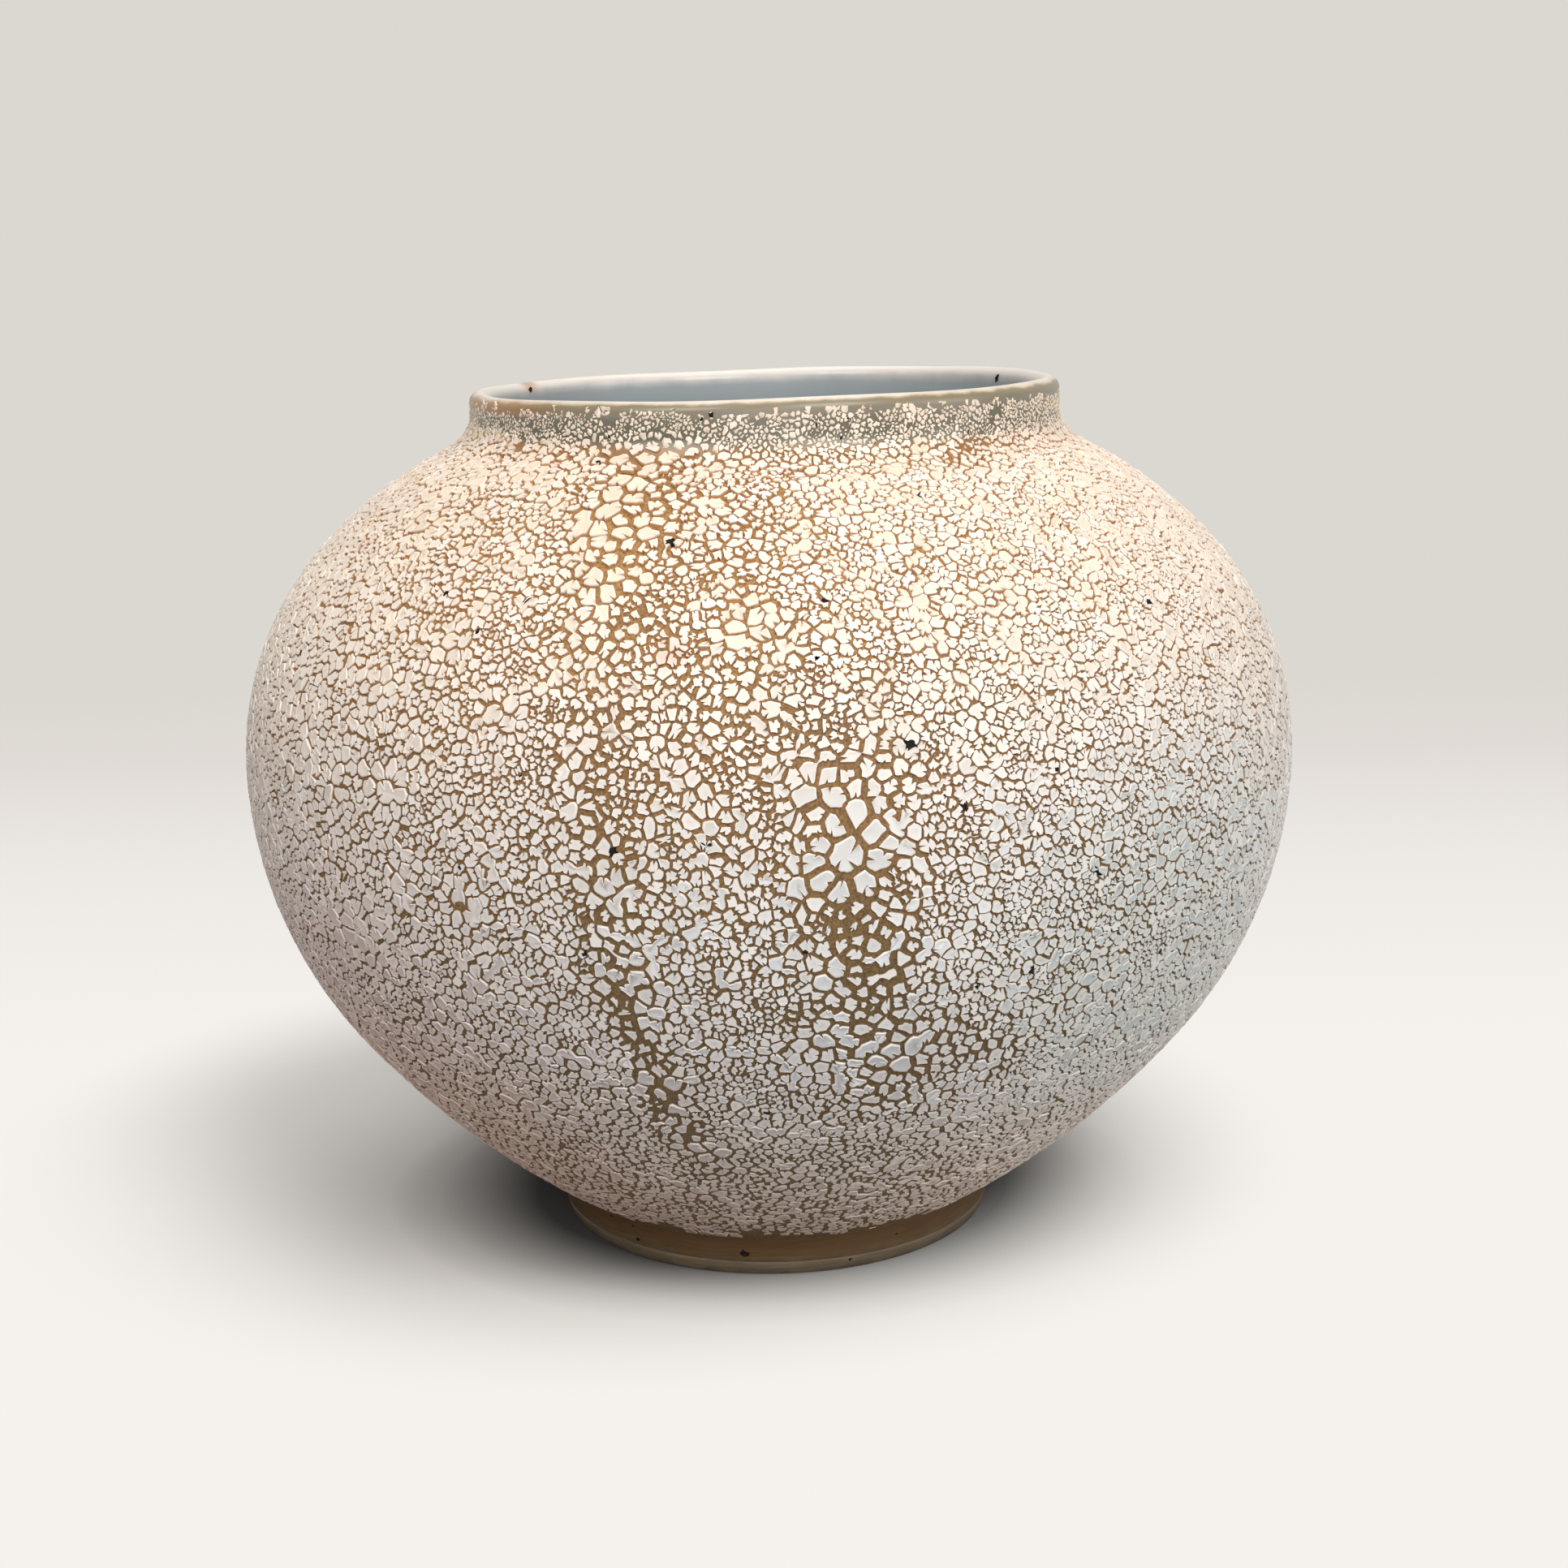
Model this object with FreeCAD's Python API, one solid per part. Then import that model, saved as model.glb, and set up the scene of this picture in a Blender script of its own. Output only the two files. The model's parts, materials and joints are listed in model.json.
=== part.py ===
"""Korean moon jar in crawl-glazed stoneware.

Two bowls are thrown separately and luted rim to rim at the belly, a collar is luted to the
shoulder and a turned foot ring to the base. A thick white glaze that crawls into islands covers
the body, and an ash glaze bands the collar under its rolled lip. Every piece is a solid of
revolution about +Z, drawn as half a section and turned.

Millimetres. The origin is the centre of the foot, on the table.
"""
import FreeCAD, Part
import math
import os

# Outline of the glazed body. From the belly two tangent arcs run up to the root of the collar, and
# two run down to the glaze line. Each pair is set by the way that its far end faces, in degrees
# from the horizontal, and by its fullness, the share of the bend that the arc at the belly takes.
belly_radius = 115.0
belly_height = 107.5
crown_facing = 64.8
shoulder_fullness_share = 0.625
skirt_facing = -56.0
haunch_fullness_share = 0.51

# Collar and lip
collar_root_height = 174.7
collar_height = 13.3
collar_radius = 63.8
collar_flare = 4.1
lip_thickness = 4.6

# Foot ring, and the glaze line just above it
foot_height = 9.0
foot_bottom_radius = 48.4
foot_flare = 3.1
foot_width = 7.4
foot_inner_draft = 1.2
foot_chamfer = 0.8
glaze_line_rise = 0.2
trim_groove_height = 3.2
trim_groove_width = 0.9
trim_groove_depth = 0.35

# Thickness of the clay and of each glaze
wall_thickness = 6.0
base_thickness = 7.0
floor_radius = 20.0
crawl_thickness = 0.9
ash_thickness = 0.6

# Luted joints: the slip between two rims, and the ridge that centres them
lute_thickness = 0.6
belly_ridge_height = 2.0
foot_ridge_height = 0.7
joint_overrun = 3.0

# Places worked out from these sizes
glaze_line_height = foot_height + lute_thickness + glaze_line_rise
glaze_line_radius = foot_bottom_radius + foot_flare
recess_depth = foot_height + lute_thickness
floor_height = recess_depth + base_thickness
collar_root_radius = collar_radius + collar_flare
collar_clay_radius = collar_radius - ash_thickness
mouth_radius = collar_radius - lip_thickness
lip_half_width = lip_thickness / 2
jar_height = collar_root_height + collar_height
lip_spring_height = jar_height - lip_half_width
cavity_depth = crawl_thickness + wall_thickness


def point(radius, height):
    """Return the point of the half section at this radius and height."""
    return FreeCAD.Vector(radius, 0, height)


def heading(angle):
    """Return the unit direction at this angle above the outward horizontal."""
    return point(math.cos(angle), math.sin(angle))


def line(start, end):
    """Return a straight edge."""
    return Part.LineSegment(start, end).toShape()


def face(edges):
    """Return the flat face inside a closed chain of edges, given in any order."""
    return Part.Face(Part.Wire(Part.__sortEdges__(edges)))


def spun(section):
    """Return the solid that a section makes when it turns about the jar's axis."""
    return section.revolve(FreeCAD.Vector(0, 0, 0), FreeCAD.Vector(0, 0, 1), 360)


class Bend:
    """An arc of the outline, held by its centre, so that each face of the wall is parallel to it.

    An angle gives the direction that the wall faces there: zero is outwards, and up is positive.
    """

    def __init__(self, centre, radius, start_angle, end_angle):
        self.centre = centre
        self.radius = radius
        self.start_angle = start_angle
        self.end_angle = end_angle

    def at(self, angle, depth=0):
        """Return the point that faces this way, this deep inside the glaze face."""
        return self.centre + heading(angle) * (self.radius - depth)

    def start(self, depth=0):
        """Return the first point."""
        return self.at(self.start_angle, depth)

    def end(self, depth=0):
        """Return the last point."""
        return self.at(self.end_angle, depth)

    def edge(self, depth=0):
        """Return the arc as an edge."""
        middle = self.at((self.start_angle + self.end_angle) / 2, depth)
        return Part.Arc(self.start(depth), middle, self.end(depth)).toShape()


def bend_from(start, angle, end):
    """Return the bend that leaves start facing this angle, in one arc to end."""
    across = end - start
    radius = -across.dot(across) / (2 * across.dot(heading(angle)))
    centre = start - heading(angle) * radius
    arrival = (end - centre) * (1 / radius)
    return Bend(centre, radius, angle, math.atan2(arrival.z, arrival.x))


def bend_pair(start, end, facing, fullness_share):
    """Return the two tangent bends from start, facing straight out, to end, facing this angle."""
    ahead = 1 if facing > 0 else -1
    leaving = heading(ahead * math.pi / 2)
    arriving = heading(facing + ahead * math.pi / 2)
    across = end - start
    first = leaving * fullness_share
    second = arriving * (1 - fullness_share)
    pull = across.dot(first + second)
    spread = 1 - (first + second).dot(first + second)
    reach = (math.sqrt(pull * pull + spread * across.dot(across)) - pull) / spread
    corner = start + first * reach
    meeting = corner + (end - second * reach - corner) * fullness_share
    near_belly = bend_from(start, 0, meeting)
    return near_belly, bend_from(meeting, near_belly.end_angle, end)


# The four arcs of the glazed body, each from the belly's side outwards
belly_edge = point(belly_radius, belly_height)
shoulder, crown = bend_pair(
    belly_edge,
    point(collar_root_radius, collar_root_height),
    math.radians(crown_facing),
    shoulder_fullness_share,
)
haunch, skirt = bend_pair(
    belly_edge,
    point(glaze_line_radius, glaze_line_height),
    math.radians(skirt_facing),
    haunch_fullness_share,
)


def body_edges(depth):
    """Return the outside of the body this deep under the glaze face, glaze line to collar."""
    return [bend.edge(depth) for bend in (skirt, haunch, shoulder, crown)]


def neck_edges(depth, radius):
    """Return the fillet from the crown into an upright neck wall, and the wall up to the lip."""
    root = crown.end(depth)
    facing = crown.end_angle
    fillet_radius = (root.x - radius) / (1 - math.cos(facing))
    centre = root + heading(facing) * fillet_radius
    middle = centre - heading(facing / 2) * fillet_radius
    upright = point(radius, centre.z)
    return [
        Part.Arc(root, middle, upright).toShape(),
        line(upright, point(radius, lip_spring_height)),
    ]


def lip_edges():
    """Return the rolled lip: a ledge over the ash glaze, then a half round into the mouth."""
    outer = point(collar_radius, lip_spring_height)
    crest = point(collar_radius - lip_half_width, jar_height)
    inner = point(mouth_radius, lip_spring_height)
    ledge = line(point(collar_clay_radius, lip_spring_height), outer)
    return [ledge, Part.Arc(outer, crest, inner).toShape()]


def cavity_edges():
    """Return the inside from the middle of the floor up to the lip."""
    floor_edge = point(floor_radius, floor_height)
    bowl = bend_from(haunch.end(cavity_depth), haunch.end_angle, floor_edge)
    wall = [haunch.edge(cavity_depth), shoulder.edge(cavity_depth), crown.edge(cavity_depth)]
    floor = line(point(0, floor_height), floor_edge)
    return [floor, bowl.edge()] + wall + neck_edges(cavity_depth, mouth_radius)


def foot_edges():
    """Return the foot from the middle of its recess, over the table edge, to the glaze line."""
    top = skirt.end(crawl_thickness)
    heel = point(foot_bottom_radius, foot_chamfer)
    slope = (top.x - heel.x) / (top.z - heel.z)

    def side(height):
        return point(heel.x + slope * (height - heel.z), height)

    inner_radius = foot_bottom_radius - foot_width
    corners = [
        point(0, recess_depth),
        point(inner_radius - foot_inner_draft, recess_depth),
        point(inner_radius, foot_chamfer),
        point(inner_radius + foot_chamfer, 0),
        point(foot_bottom_radius - foot_chamfer, 0),
        heel,
        side(trim_groove_height - trim_groove_width / 2),
        side(trim_groove_height) - point(trim_groove_depth, 0),
        side(trim_groove_height + trim_groove_width / 2),
        top,
    ]
    return [line(start, end) for start, end in zip(corners, corners[1:])]


def clay_section():
    """Return half the section of all the clay: foot, wall, collar and lip in one."""
    outside = body_edges(crawl_thickness) + neck_edges(crawl_thickness, collar_clay_radius)
    axis = line(point(0, recess_depth), point(0, floor_height))
    return face(foot_edges() + outside + lip_edges() + cavity_edges() + [axis])


def ridged_joint(inner, outer, height, ridge):
    """Return the section of a level joint whose rims meet in a ridge halfway across."""
    under = [
        point(inner - joint_overrun, height),
        point(inner, height),
        point((inner + outer) / 2, height + ridge),
        point(outer, height),
        point(outer + joint_overrun, height),
    ]
    over = [corner + point(0, lute_thickness) for corner in reversed(under)]
    return Part.Face(Part.makePolygon(under + over + [under[0]]))


def square_joint():
    """Return the section of the joint straight through the wall at the root of the collar."""
    top = crown.end(-joint_overrun)
    bottom = crown.end(cavity_depth + joint_overrun)
    back = heading(crown.end_angle - math.pi / 2) * lute_thickness
    return Part.Face(Part.makePolygon([top, bottom, bottom + back, top + back, top]))


def clay_pieces():
    """Return the sections of the clay pieces and of the slip that lutes them together."""
    clay = clay_section()
    belly_joint = ridged_joint(
        belly_radius - cavity_depth,
        belly_radius - crawl_thickness,
        belly_height,
        belly_ridge_height,
    )
    foot_joint = ridged_joint(
        foot_bottom_radius - foot_width, foot_bottom_radius, foot_height, -foot_ridge_height
    )
    collar_joint = square_joint()
    parted = clay.cut([belly_joint, foot_joint, collar_joint])
    foot_ring, lower_bowl, upper_bowl, collar = sorted(
        parted.Faces, key=lambda piece: piece.BoundBox.ZMax
    )
    return {
        "foot_ring": foot_ring,
        "lower_bowl": lower_bowl,
        "upper_bowl": upper_bowl,
        "collar": collar,
        "foot_lute": clay.common(foot_joint).Faces[0],
        "belly_lute": clay.common(belly_joint).Faces[0],
        "collar_lute": clay.common(collar_joint).Faces[0],
    }


def crawl_glaze_coat():
    """Return the section of the white glaze, as thick as its islands stand."""
    hem = line(skirt.end(crawl_thickness), skirt.end())
    top = line(crown.end(crawl_thickness), crown.end())
    return face(body_edges(crawl_thickness) + body_edges(0) + [hem, top])


def collar_ash_glaze():
    """Return the section of the ash glaze on the outside of the collar."""
    inside = neck_edges(crawl_thickness, collar_clay_radius)
    outside = neck_edges(0, collar_radius)
    hem = line(crown.end(crawl_thickness), crown.end())
    top = line(
        point(collar_clay_radius, lip_spring_height), point(collar_radius, lip_spring_height)
    )
    return face(inside + outside + [hem, top])


def sections():
    """Return the half section of every piece by its name."""
    pieces = clay_pieces()
    pieces["crawl_glaze_coat"] = crawl_glaze_coat()
    pieces["collar_ash_glaze"] = collar_ash_glaze()
    return pieces


os.makedirs("parts", exist_ok=True)
for name, section in sections().items():
    shape = spun(section)
    shape.exportStep(os.path.join("parts", name + ".step"))
    print(f"{name}: {len(shape.Solids)} solid, valid {shape.isValid()}, {shape.Volume:.1f} mm3")
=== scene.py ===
"""Looks of a moon jar in crawl-glazed stoneware, dressed over its packed clay model.

The clay is coated with an ochre iron slip. A thick white glaze shrank on it in the kiln and tore
into islands, so every island here is a solid of its own, standing on the slip. An ash glaze runs
round the collar, and a smooth grey liner glaze covers the inside.

Places on the jar are an azimuth in degrees, from the front towards its right, and a height in
millimetres. Sizes are in millimetres too, and only finished meshes are in metres.
"""

import json
import logging
import math
from collections.abc import Callable, Iterable
from dataclasses import dataclass
from enum import Enum

import bmesh
import bpy
import numpy as np
from mathutils import Matrix, Vector, kdtree, noise
from mathutils.geometry import delaunay_2d_cdt


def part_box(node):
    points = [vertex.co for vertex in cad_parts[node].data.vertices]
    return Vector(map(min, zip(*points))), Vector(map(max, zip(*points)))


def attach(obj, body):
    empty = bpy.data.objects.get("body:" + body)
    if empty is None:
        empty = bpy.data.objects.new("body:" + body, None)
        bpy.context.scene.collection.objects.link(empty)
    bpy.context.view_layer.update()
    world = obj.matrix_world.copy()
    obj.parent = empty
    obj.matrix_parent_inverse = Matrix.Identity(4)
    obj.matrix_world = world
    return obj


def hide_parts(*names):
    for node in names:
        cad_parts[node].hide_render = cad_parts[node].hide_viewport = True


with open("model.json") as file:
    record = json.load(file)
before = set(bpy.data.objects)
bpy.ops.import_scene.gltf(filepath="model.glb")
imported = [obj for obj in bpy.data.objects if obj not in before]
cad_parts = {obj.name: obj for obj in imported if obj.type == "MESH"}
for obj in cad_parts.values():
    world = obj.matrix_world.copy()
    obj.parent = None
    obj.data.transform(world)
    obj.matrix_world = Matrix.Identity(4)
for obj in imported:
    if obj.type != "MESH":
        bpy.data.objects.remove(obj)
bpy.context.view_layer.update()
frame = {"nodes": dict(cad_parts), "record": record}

MM = 0.001
TURN = 2 * math.pi
BODY = "root"
SEED = 18
# Without this the noise would start from the clock, and each run would draw another pattern.
noise.seed_set(SEED)

Array = np.ndarray
Place = tuple[float, float]
Side = tuple[float, float, int]
Triple = tuple[float, float, float]
Stops = tuple[tuple[float, str], ...]
Mesh = bmesh.types.BMesh
Material = bpy.types.Material
Node = bpy.types.Node
NodeTree = bpy.types.NodeTree

log = logging.getLogger("moon_jar")


def linear(hex_colour: str) -> tuple[float, float, float, float]:
    """Turn an sRGB hex colour into linear light.

    Args:
        hex_colour: Six hex digits after a hash.

    Returns:
        Linear red, green and blue, and an alpha of 1.
    """
    parts = [int(hex_colour[i:i + 2], 16) / 255 for i in (1, 3, 5)]
    light = [c / 12.92 if c <= 0.04045 else ((c + 0.055) / 1.055) ** 2.4 for c in parts]
    return (*light, 1.0)


def per_mm(size: float) -> float:
    """Return the scale that repeats a pattern every size millimetres on Object coordinates."""
    return 1 / (size * MM)


def heading(angle: float) -> Array:
    """Return the unit direction at this angle above the outward horizontal: radius, height."""
    return np.array([math.cos(angle), math.sin(angle)])


def headings(angles: Array) -> Array:
    """Return one such direction for each angle."""
    return np.stack([np.cos(angles), np.sin(angles)], axis=1)


def smooth_step(low: float, high: float, value: Array) -> Array:
    """Return 0 below low, 1 above high and a smooth rise between them."""
    share = np.clip((value - low) / (high - low), 0, 1)
    return share * share * (3 - 2 * share)


def blend(first: Array, second: Array, share: Array) -> Array:
    """Return first where share is 0 and second where it is 1."""
    return first + (second - first) * share


def drift(points: Array, wavelength: float) -> Array:
    """Sample smooth noise, three values of about -1 to 1 at each place.

    Args:
        points: Places in millimetres, one row each.
        wavelength: About how far apart its bumps are.

    Returns:
        One row of three values for each place.
    """
    return np.array([noise.noise_vector(place) for place in (points / wavelength).tolist()])


def half_turn(angle: Array) -> Array:
    """Bring an angle to within half a turn of zero."""
    return (angle + math.pi) % TURN - math.pi


# The outline of the jar


@dataclass(frozen=True)
class Bend:
    """An arc of the half section, held so that each face of the wall is parallel to it.

    A hollow bend, such as the root of the collar, has its centre outside the jar.
    """

    centre: Array
    radius: float
    start_facing: float
    end_facing: float
    hollow: bool = False

    def sample(self, step: float, depth: float = 0) -> tuple[Array, Array]:
        """Sample the arc from its start to its end.

        Args:
            step: About how far apart the points are.
            depth: How deep inside the outer face.

        Returns:
            The points as radius and height, and the way that each one faces.
        """
        count = max(2, math.ceil(abs(self.end_facing - self.start_facing) * self.radius / step))
        facing = np.linspace(self.start_facing, self.end_facing, count + 1)
        reach = (-self.radius if self.hollow else self.radius) - depth
        return self.centre + headings(facing) * reach, facing

    def end(self, depth: float = 0) -> Array:
        """Return the last point at this depth."""
        return self.centre + heading(self.end_facing) * (self.radius - depth)


def bend_from(start: Array, facing: float, end: Array) -> Bend:
    """Return the bend that leaves start facing this way, in one arc to end.

    Args:
        start: The first point, as radius and height.
        facing: The way that the wall faces there, in radians.
        end: The last point.

    Returns:
        The bend.
    """
    across = end - start
    radius = -across.dot(across) / (2 * across.dot(heading(facing)))
    centre = start - heading(facing) * radius
    arrival = end - centre
    return Bend(centre, radius, facing, math.atan2(arrival[1], arrival[0]))


def bend_pair(start: Array, end: Array, facing: float, share: float) -> list[Bend]:
    """Join two places with two tangent arcs.

    Args:
        start: Where the pair starts, facing straight out.
        end: Where it ends.
        facing: The way that it faces at its end, in radians.
        share: How much of the bend the first arc takes.

    Returns:
        The two bends, the first one first.
    """
    ahead = 1 if facing > 0 else -1
    first = heading(ahead * math.pi / 2) * share
    second = heading(facing + ahead * math.pi / 2) * (1 - share)
    across = end - start
    pull = across.dot(first + second)
    spread = 1 - (first + second).dot(first + second)
    reach = (math.sqrt(pull * pull + spread * across.dot(across)) - pull) / spread
    corner = start + first * reach
    meeting = corner + (end - second * reach - corner) * share
    near = bend_from(start, 0, meeting)
    return [near, bend_from(meeting, near.end_facing, end)]


@dataclass(frozen=True)
class Outline:
    """The half section of the jar, with the sizes of the clay model."""

    belly_radius: float
    belly_height: float
    collar_root_radius: float
    collar_root_height: float
    jar_height: float
    mouth_radius: float
    glaze_line_radius: float = 51.5
    glaze_line_height: float = 9.8
    lip_thickness: float = 4.6
    crown_facing: float = math.radians(64.8)
    shoulder_fullness: float = 0.625
    skirt_facing: float = math.radians(-56.0)
    haunch_fullness: float = 0.51
    glaze_thickness: float = 0.9
    wall: float = 6.0
    floor_radius: float = 20.0
    floor_height: float = 16.6
    recess_height: float = 9.6
    foot_radius: float = 48.4
    foot_width: float = 7.4
    foot_chamfer: float = 0.8
    foot_draft: float = 1.2
    groove_height: float = 3.2
    groove_width: float = 0.9
    groove_depth: float = 0.35

    @classmethod
    def from_frame(cls) -> "Outline":
        """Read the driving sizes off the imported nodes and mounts.

        Returns:
            The outline.
        """
        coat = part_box("crawl_glaze_coat")[1] / MM
        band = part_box("collar_ash_glaze")[1] / MM
        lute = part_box("belly_lute")[0] / MM
        mouth = next(m for m in frame["record"]["mounts"] if m["name"] == "mouth")
        return cls(
            belly_radius=coat.x,
            belly_height=lute.z,
            collar_root_radius=band.x,
            collar_root_height=coat.z,
            jar_height=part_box("collar")[1].z / MM,
            mouth_radius=mouth["dims"]["r_mm"],
        )

    @property
    def collar_radius(self) -> float:
        """Outside of the collar."""
        return self.mouth_radius + self.lip_thickness

    @property
    def lip_spring(self) -> float:
        """Height where the lip starts to round over."""
        return self.jar_height - self.lip_thickness / 2

    @property
    def upper_bends(self) -> list[Bend]:
        """The shoulder and the crown, from the belly up."""
        belly = np.array([self.belly_radius, self.belly_height])
        root = np.array([self.collar_root_radius, self.collar_root_height])
        return bend_pair(belly, root, self.crown_facing, self.shoulder_fullness)

    @property
    def lower_bends(self) -> list[Bend]:
        """The haunch and the skirt, from the belly down."""
        belly = np.array([self.belly_radius, self.belly_height])
        line = np.array([self.glaze_line_radius, self.glaze_line_height])
        return bend_pair(belly, line, self.skirt_facing, self.haunch_fullness)

    def neck(self, depth: float, radius: float) -> Bend:
        """Return the hollow bend from the crown, at this depth, into an upright wall.

        Args:
            depth: How deep inside the outer face it starts.
            radius: How far the wall is from the axis.

        Returns:
            The bend.
        """
        crown = self.upper_bends[1]
        root = crown.end(depth)
        bend = (root[0] - radius) / (1 - math.cos(crown.end_facing))
        return Bend(root + heading(crown.end_facing) * bend, bend, crown.end_facing, 0, True)

    def foot_side(self, height: float) -> float:
        """Return the radius of the foot's outer side at a height.

        Args:
            height: How high above the table.

        Returns:
            The radius.
        """
        top = self.lower_bends[1].end(self.glaze_thickness)
        rise = (height - self.foot_chamfer) / (top[1] - self.foot_chamfer)
        return self.foot_radius + (top[0] - self.foot_radius) * rise


class Surface:
    """The outer face as a map: azimuth across, and along it the angle that keeps shapes true.

    Along grows by a step up the outline divided by its radius, so a small shape on the map has
    the same form on the jar, and its size there is its size on the map times the radius.
    """

    def __init__(self, outline: Outline, step: float = 0.25) -> None:
        """Sample the outline from the glaze line to the lip.

        Args:
            outline: The half section.
            step: About how far apart the points are.
        """
        haunch, skirt = outline.lower_bends
        rising = (*outline.upper_bends, outline.neck(0, outline.collar_radius))
        runs = [[part[::-1] for part in bend.sample(step)] for bend in (skirt, haunch)]
        runs += [bend.sample(step) for bend in rising]
        runs.append(([[outline.collar_radius, outline.lip_spring]], [0.0]))
        points, facing = (np.concatenate(parts) for parts in zip(*runs))
        fresh = np.r_[True, np.hypot(*np.diff(points, axis=0).T) > step / 100]
        self.points = points[fresh]
        self.facing = facing[fresh]
        rise = np.hypot(*np.diff(self.points, axis=0).T)
        middle = (self.points[1:, 0] + self.points[:-1, 0]) / 2
        self.length = np.r_[0, np.cumsum(rise)]
        self.along = np.r_[0, np.cumsum(rise / middle)]

    @property
    def top(self) -> float:
        """How far along the lip starts."""
        return self.along[-1]

    def along_at(self, height: Array) -> Array:
        """Return how far along the map this height is."""
        return np.interp(height, self.points[:, 1], self.along)

    def radius(self, along: Array) -> Array:
        """Return the jar's radius, which is also the scale of the map."""
        return np.interp(along, self.along, self.points[:, 0])

    def height(self, along: Array) -> Array:
        """Return the height."""
        return np.interp(along, self.along, self.points[:, 1])

    def place(self, across: Array, along: Array, depth: Array) -> Array:
        """Turn places on the map into points of the jar.

        Args:
            across: Azimuths in radians.
            along: How far along the map.
            depth: How deep under the outer face.

        Returns:
            Points in millimetres, one row each.
        """
        facing = np.interp(along, self.along, self.facing)
        radius = self.radius(along) - np.cos(facing) * depth
        height = self.height(along) - np.sin(facing) * depth
        return np.stack([radius * np.sin(across), -radius * np.cos(across), height], axis=-1)


# How the glaze crawled


@dataclass(frozen=True)
class Run:
    """Places where the glaze crawled differently from what is round them.

    The line joins azimuths and heights, and the run fades over its reach to each side. Island is
    how far apart the cracks are there, gap is how wide they are, and joined is how many of the
    finer cracks stop part of the way.
    """

    line: tuple[Place, ...]
    reach: float
    island: float
    gap: float
    joined: float

    def weight(self, surface: Surface, across: Array, along: Array) -> Array:
        """Return how much of the run is at each place of the map, from 0 to 1.

        Args:
            surface: The outer face.
            across: Azimuths in radians.
            along: How far along the map.

        Returns:
            One weight for each place.
        """
        radius = surface.radius(along)
        height = np.interp(along, surface.along, surface.length)
        nearest = np.full(across.shape, np.inf)
        levels = [surface.along_at(level) for _, level in self.line]
        lengths = [np.interp(level, surface.along, surface.length) for level in levels]
        ends = [(math.radians(azimuth), y) for (azimuth, _), y in zip(self.line, lengths)]
        for (x0, y0), (x1, y1) in zip(ends, ends[1:]):
            px, py = half_turn(across - x0) * radius, height - y0
            ex, ey = (x1 - x0) * radius, y1 - y0
            share = np.clip((px * ex + py * ey) / np.maximum(ex * ex + ey * ey, 1e-9), 0, 1)
            nearest = np.minimum(nearest, np.hypot(px - ex * share, py - ey * share))
        return np.exp(-(nearest / self.reach) ** 2)


SEEN_RUNS = (
    Run(((-50, 160), (-45, 100), (-40, 60)), 34, 2.5, 0.44, 0.13),
    Run(((50, 90), (45, 60), (30, 45)), 30, 2.3, 0.3, 0.15),
    Run(((15, 168), (45, 150), (30, 135)), 34, 2.15, 0.22, 0.15),
    Run(((-6, 168), (-4, 136)), 24, 2.05, 0.42, 0.14),
    Run(((-10, 108), (-4, 80), (0, 55)), 30, 2.2, 0.46, 0.14),
    Run(((27, 112), (26, 90)), 12, 1.9, 0.26, 0.12),
    Run(((-45, 128), (-43, 100), (-46, 84)), 11, 2.9, 0.46, 0.1),
    Run(((-22, 174), (-17, 160), (-17, 148)), 12, 2.9, 0.66, 0.12),
    Run(((-20, 174), (-17, 168), (-18, 158)), 5.5, 4.0, 1.05, 0.05),
    Run(((-3, 170), (-4, 158), (-2, 146)), 6.0, 2.6, 0.56, 0.12),
    Run(((-17, 132), (-16, 116), (-15, 104), (-15, 90)), 5.5, 3.1, 0.74, 0.1),
    Run(((-14, 84), (-14, 76), (-12, 66), (-12, 54), (-8, 40)), 4.2, 3.6, 1.3, 0.12),
    Run(((-6, 136), (2, 126), (10, 122)), 8, 2.8, 0.58, 0.12),
    Run(((-4, 118), (-4, 100)), 7, 2.5, 0.46, 0.12),
    Run(((6, 120), (7, 106), (9, 90), (8, 76), (12, 62)), 9, 3.3, 0.9, 0.1),
    Run(((7, 112), (8, 102), (7, 94)), 4.5, 4.6, 1.3, 0.03),
    Run(((10, 90), (8, 76)), 4.0, 4.2, 1.2, 0.05),
    Run(((14, 72), (24, 66)), 6, 3.0, 0.8, 0.1),
    Run(((38, 176), (34, 175)), 3.0, 2.0, 0.7, 0.1),
)

COLLAR_RUN = Run(((-30, 176.8), (-22, 176.8), (-13, 177.2)), 2.4, 3.9, 1.05, 0.02)

HIDDEN_RUNS = (
    Run(((100, 150), (104, 120), (98, 90), (106, 66)), 12, 3.2, 0.55, 0.12),
    Run(((103, 140), (102, 118), (104, 100)), 4.5, 4.6, 1.0, 0.05),
    Run(((168, 178), (172, 160), (165, 140), (176, 118)), 9, 3.4, 0.6, 0.1),
    Run(((170, 172), (168, 150)), 4.0, 4.8, 1.0, 0.05),
    Run(((-150, 132), (-146, 110), (-152, 84), (-144, 60)), 10, 3.3, 0.65, 0.1),
    Run(((-147, 112), (-150, 92)), 4.5, 5.0, 1.15, 0.03),
    Run(((-100, 160), (-104, 130), (-96, 104)), 14, 2.9, 0.45, 0.12),
    Run(((140, 110), (135, 80)), 14, 1.95, 0.26, 0.12),
    Run(((-120, 150), (-125, 120)), 14, 2.0, 0.26, 0.12),
)


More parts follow.
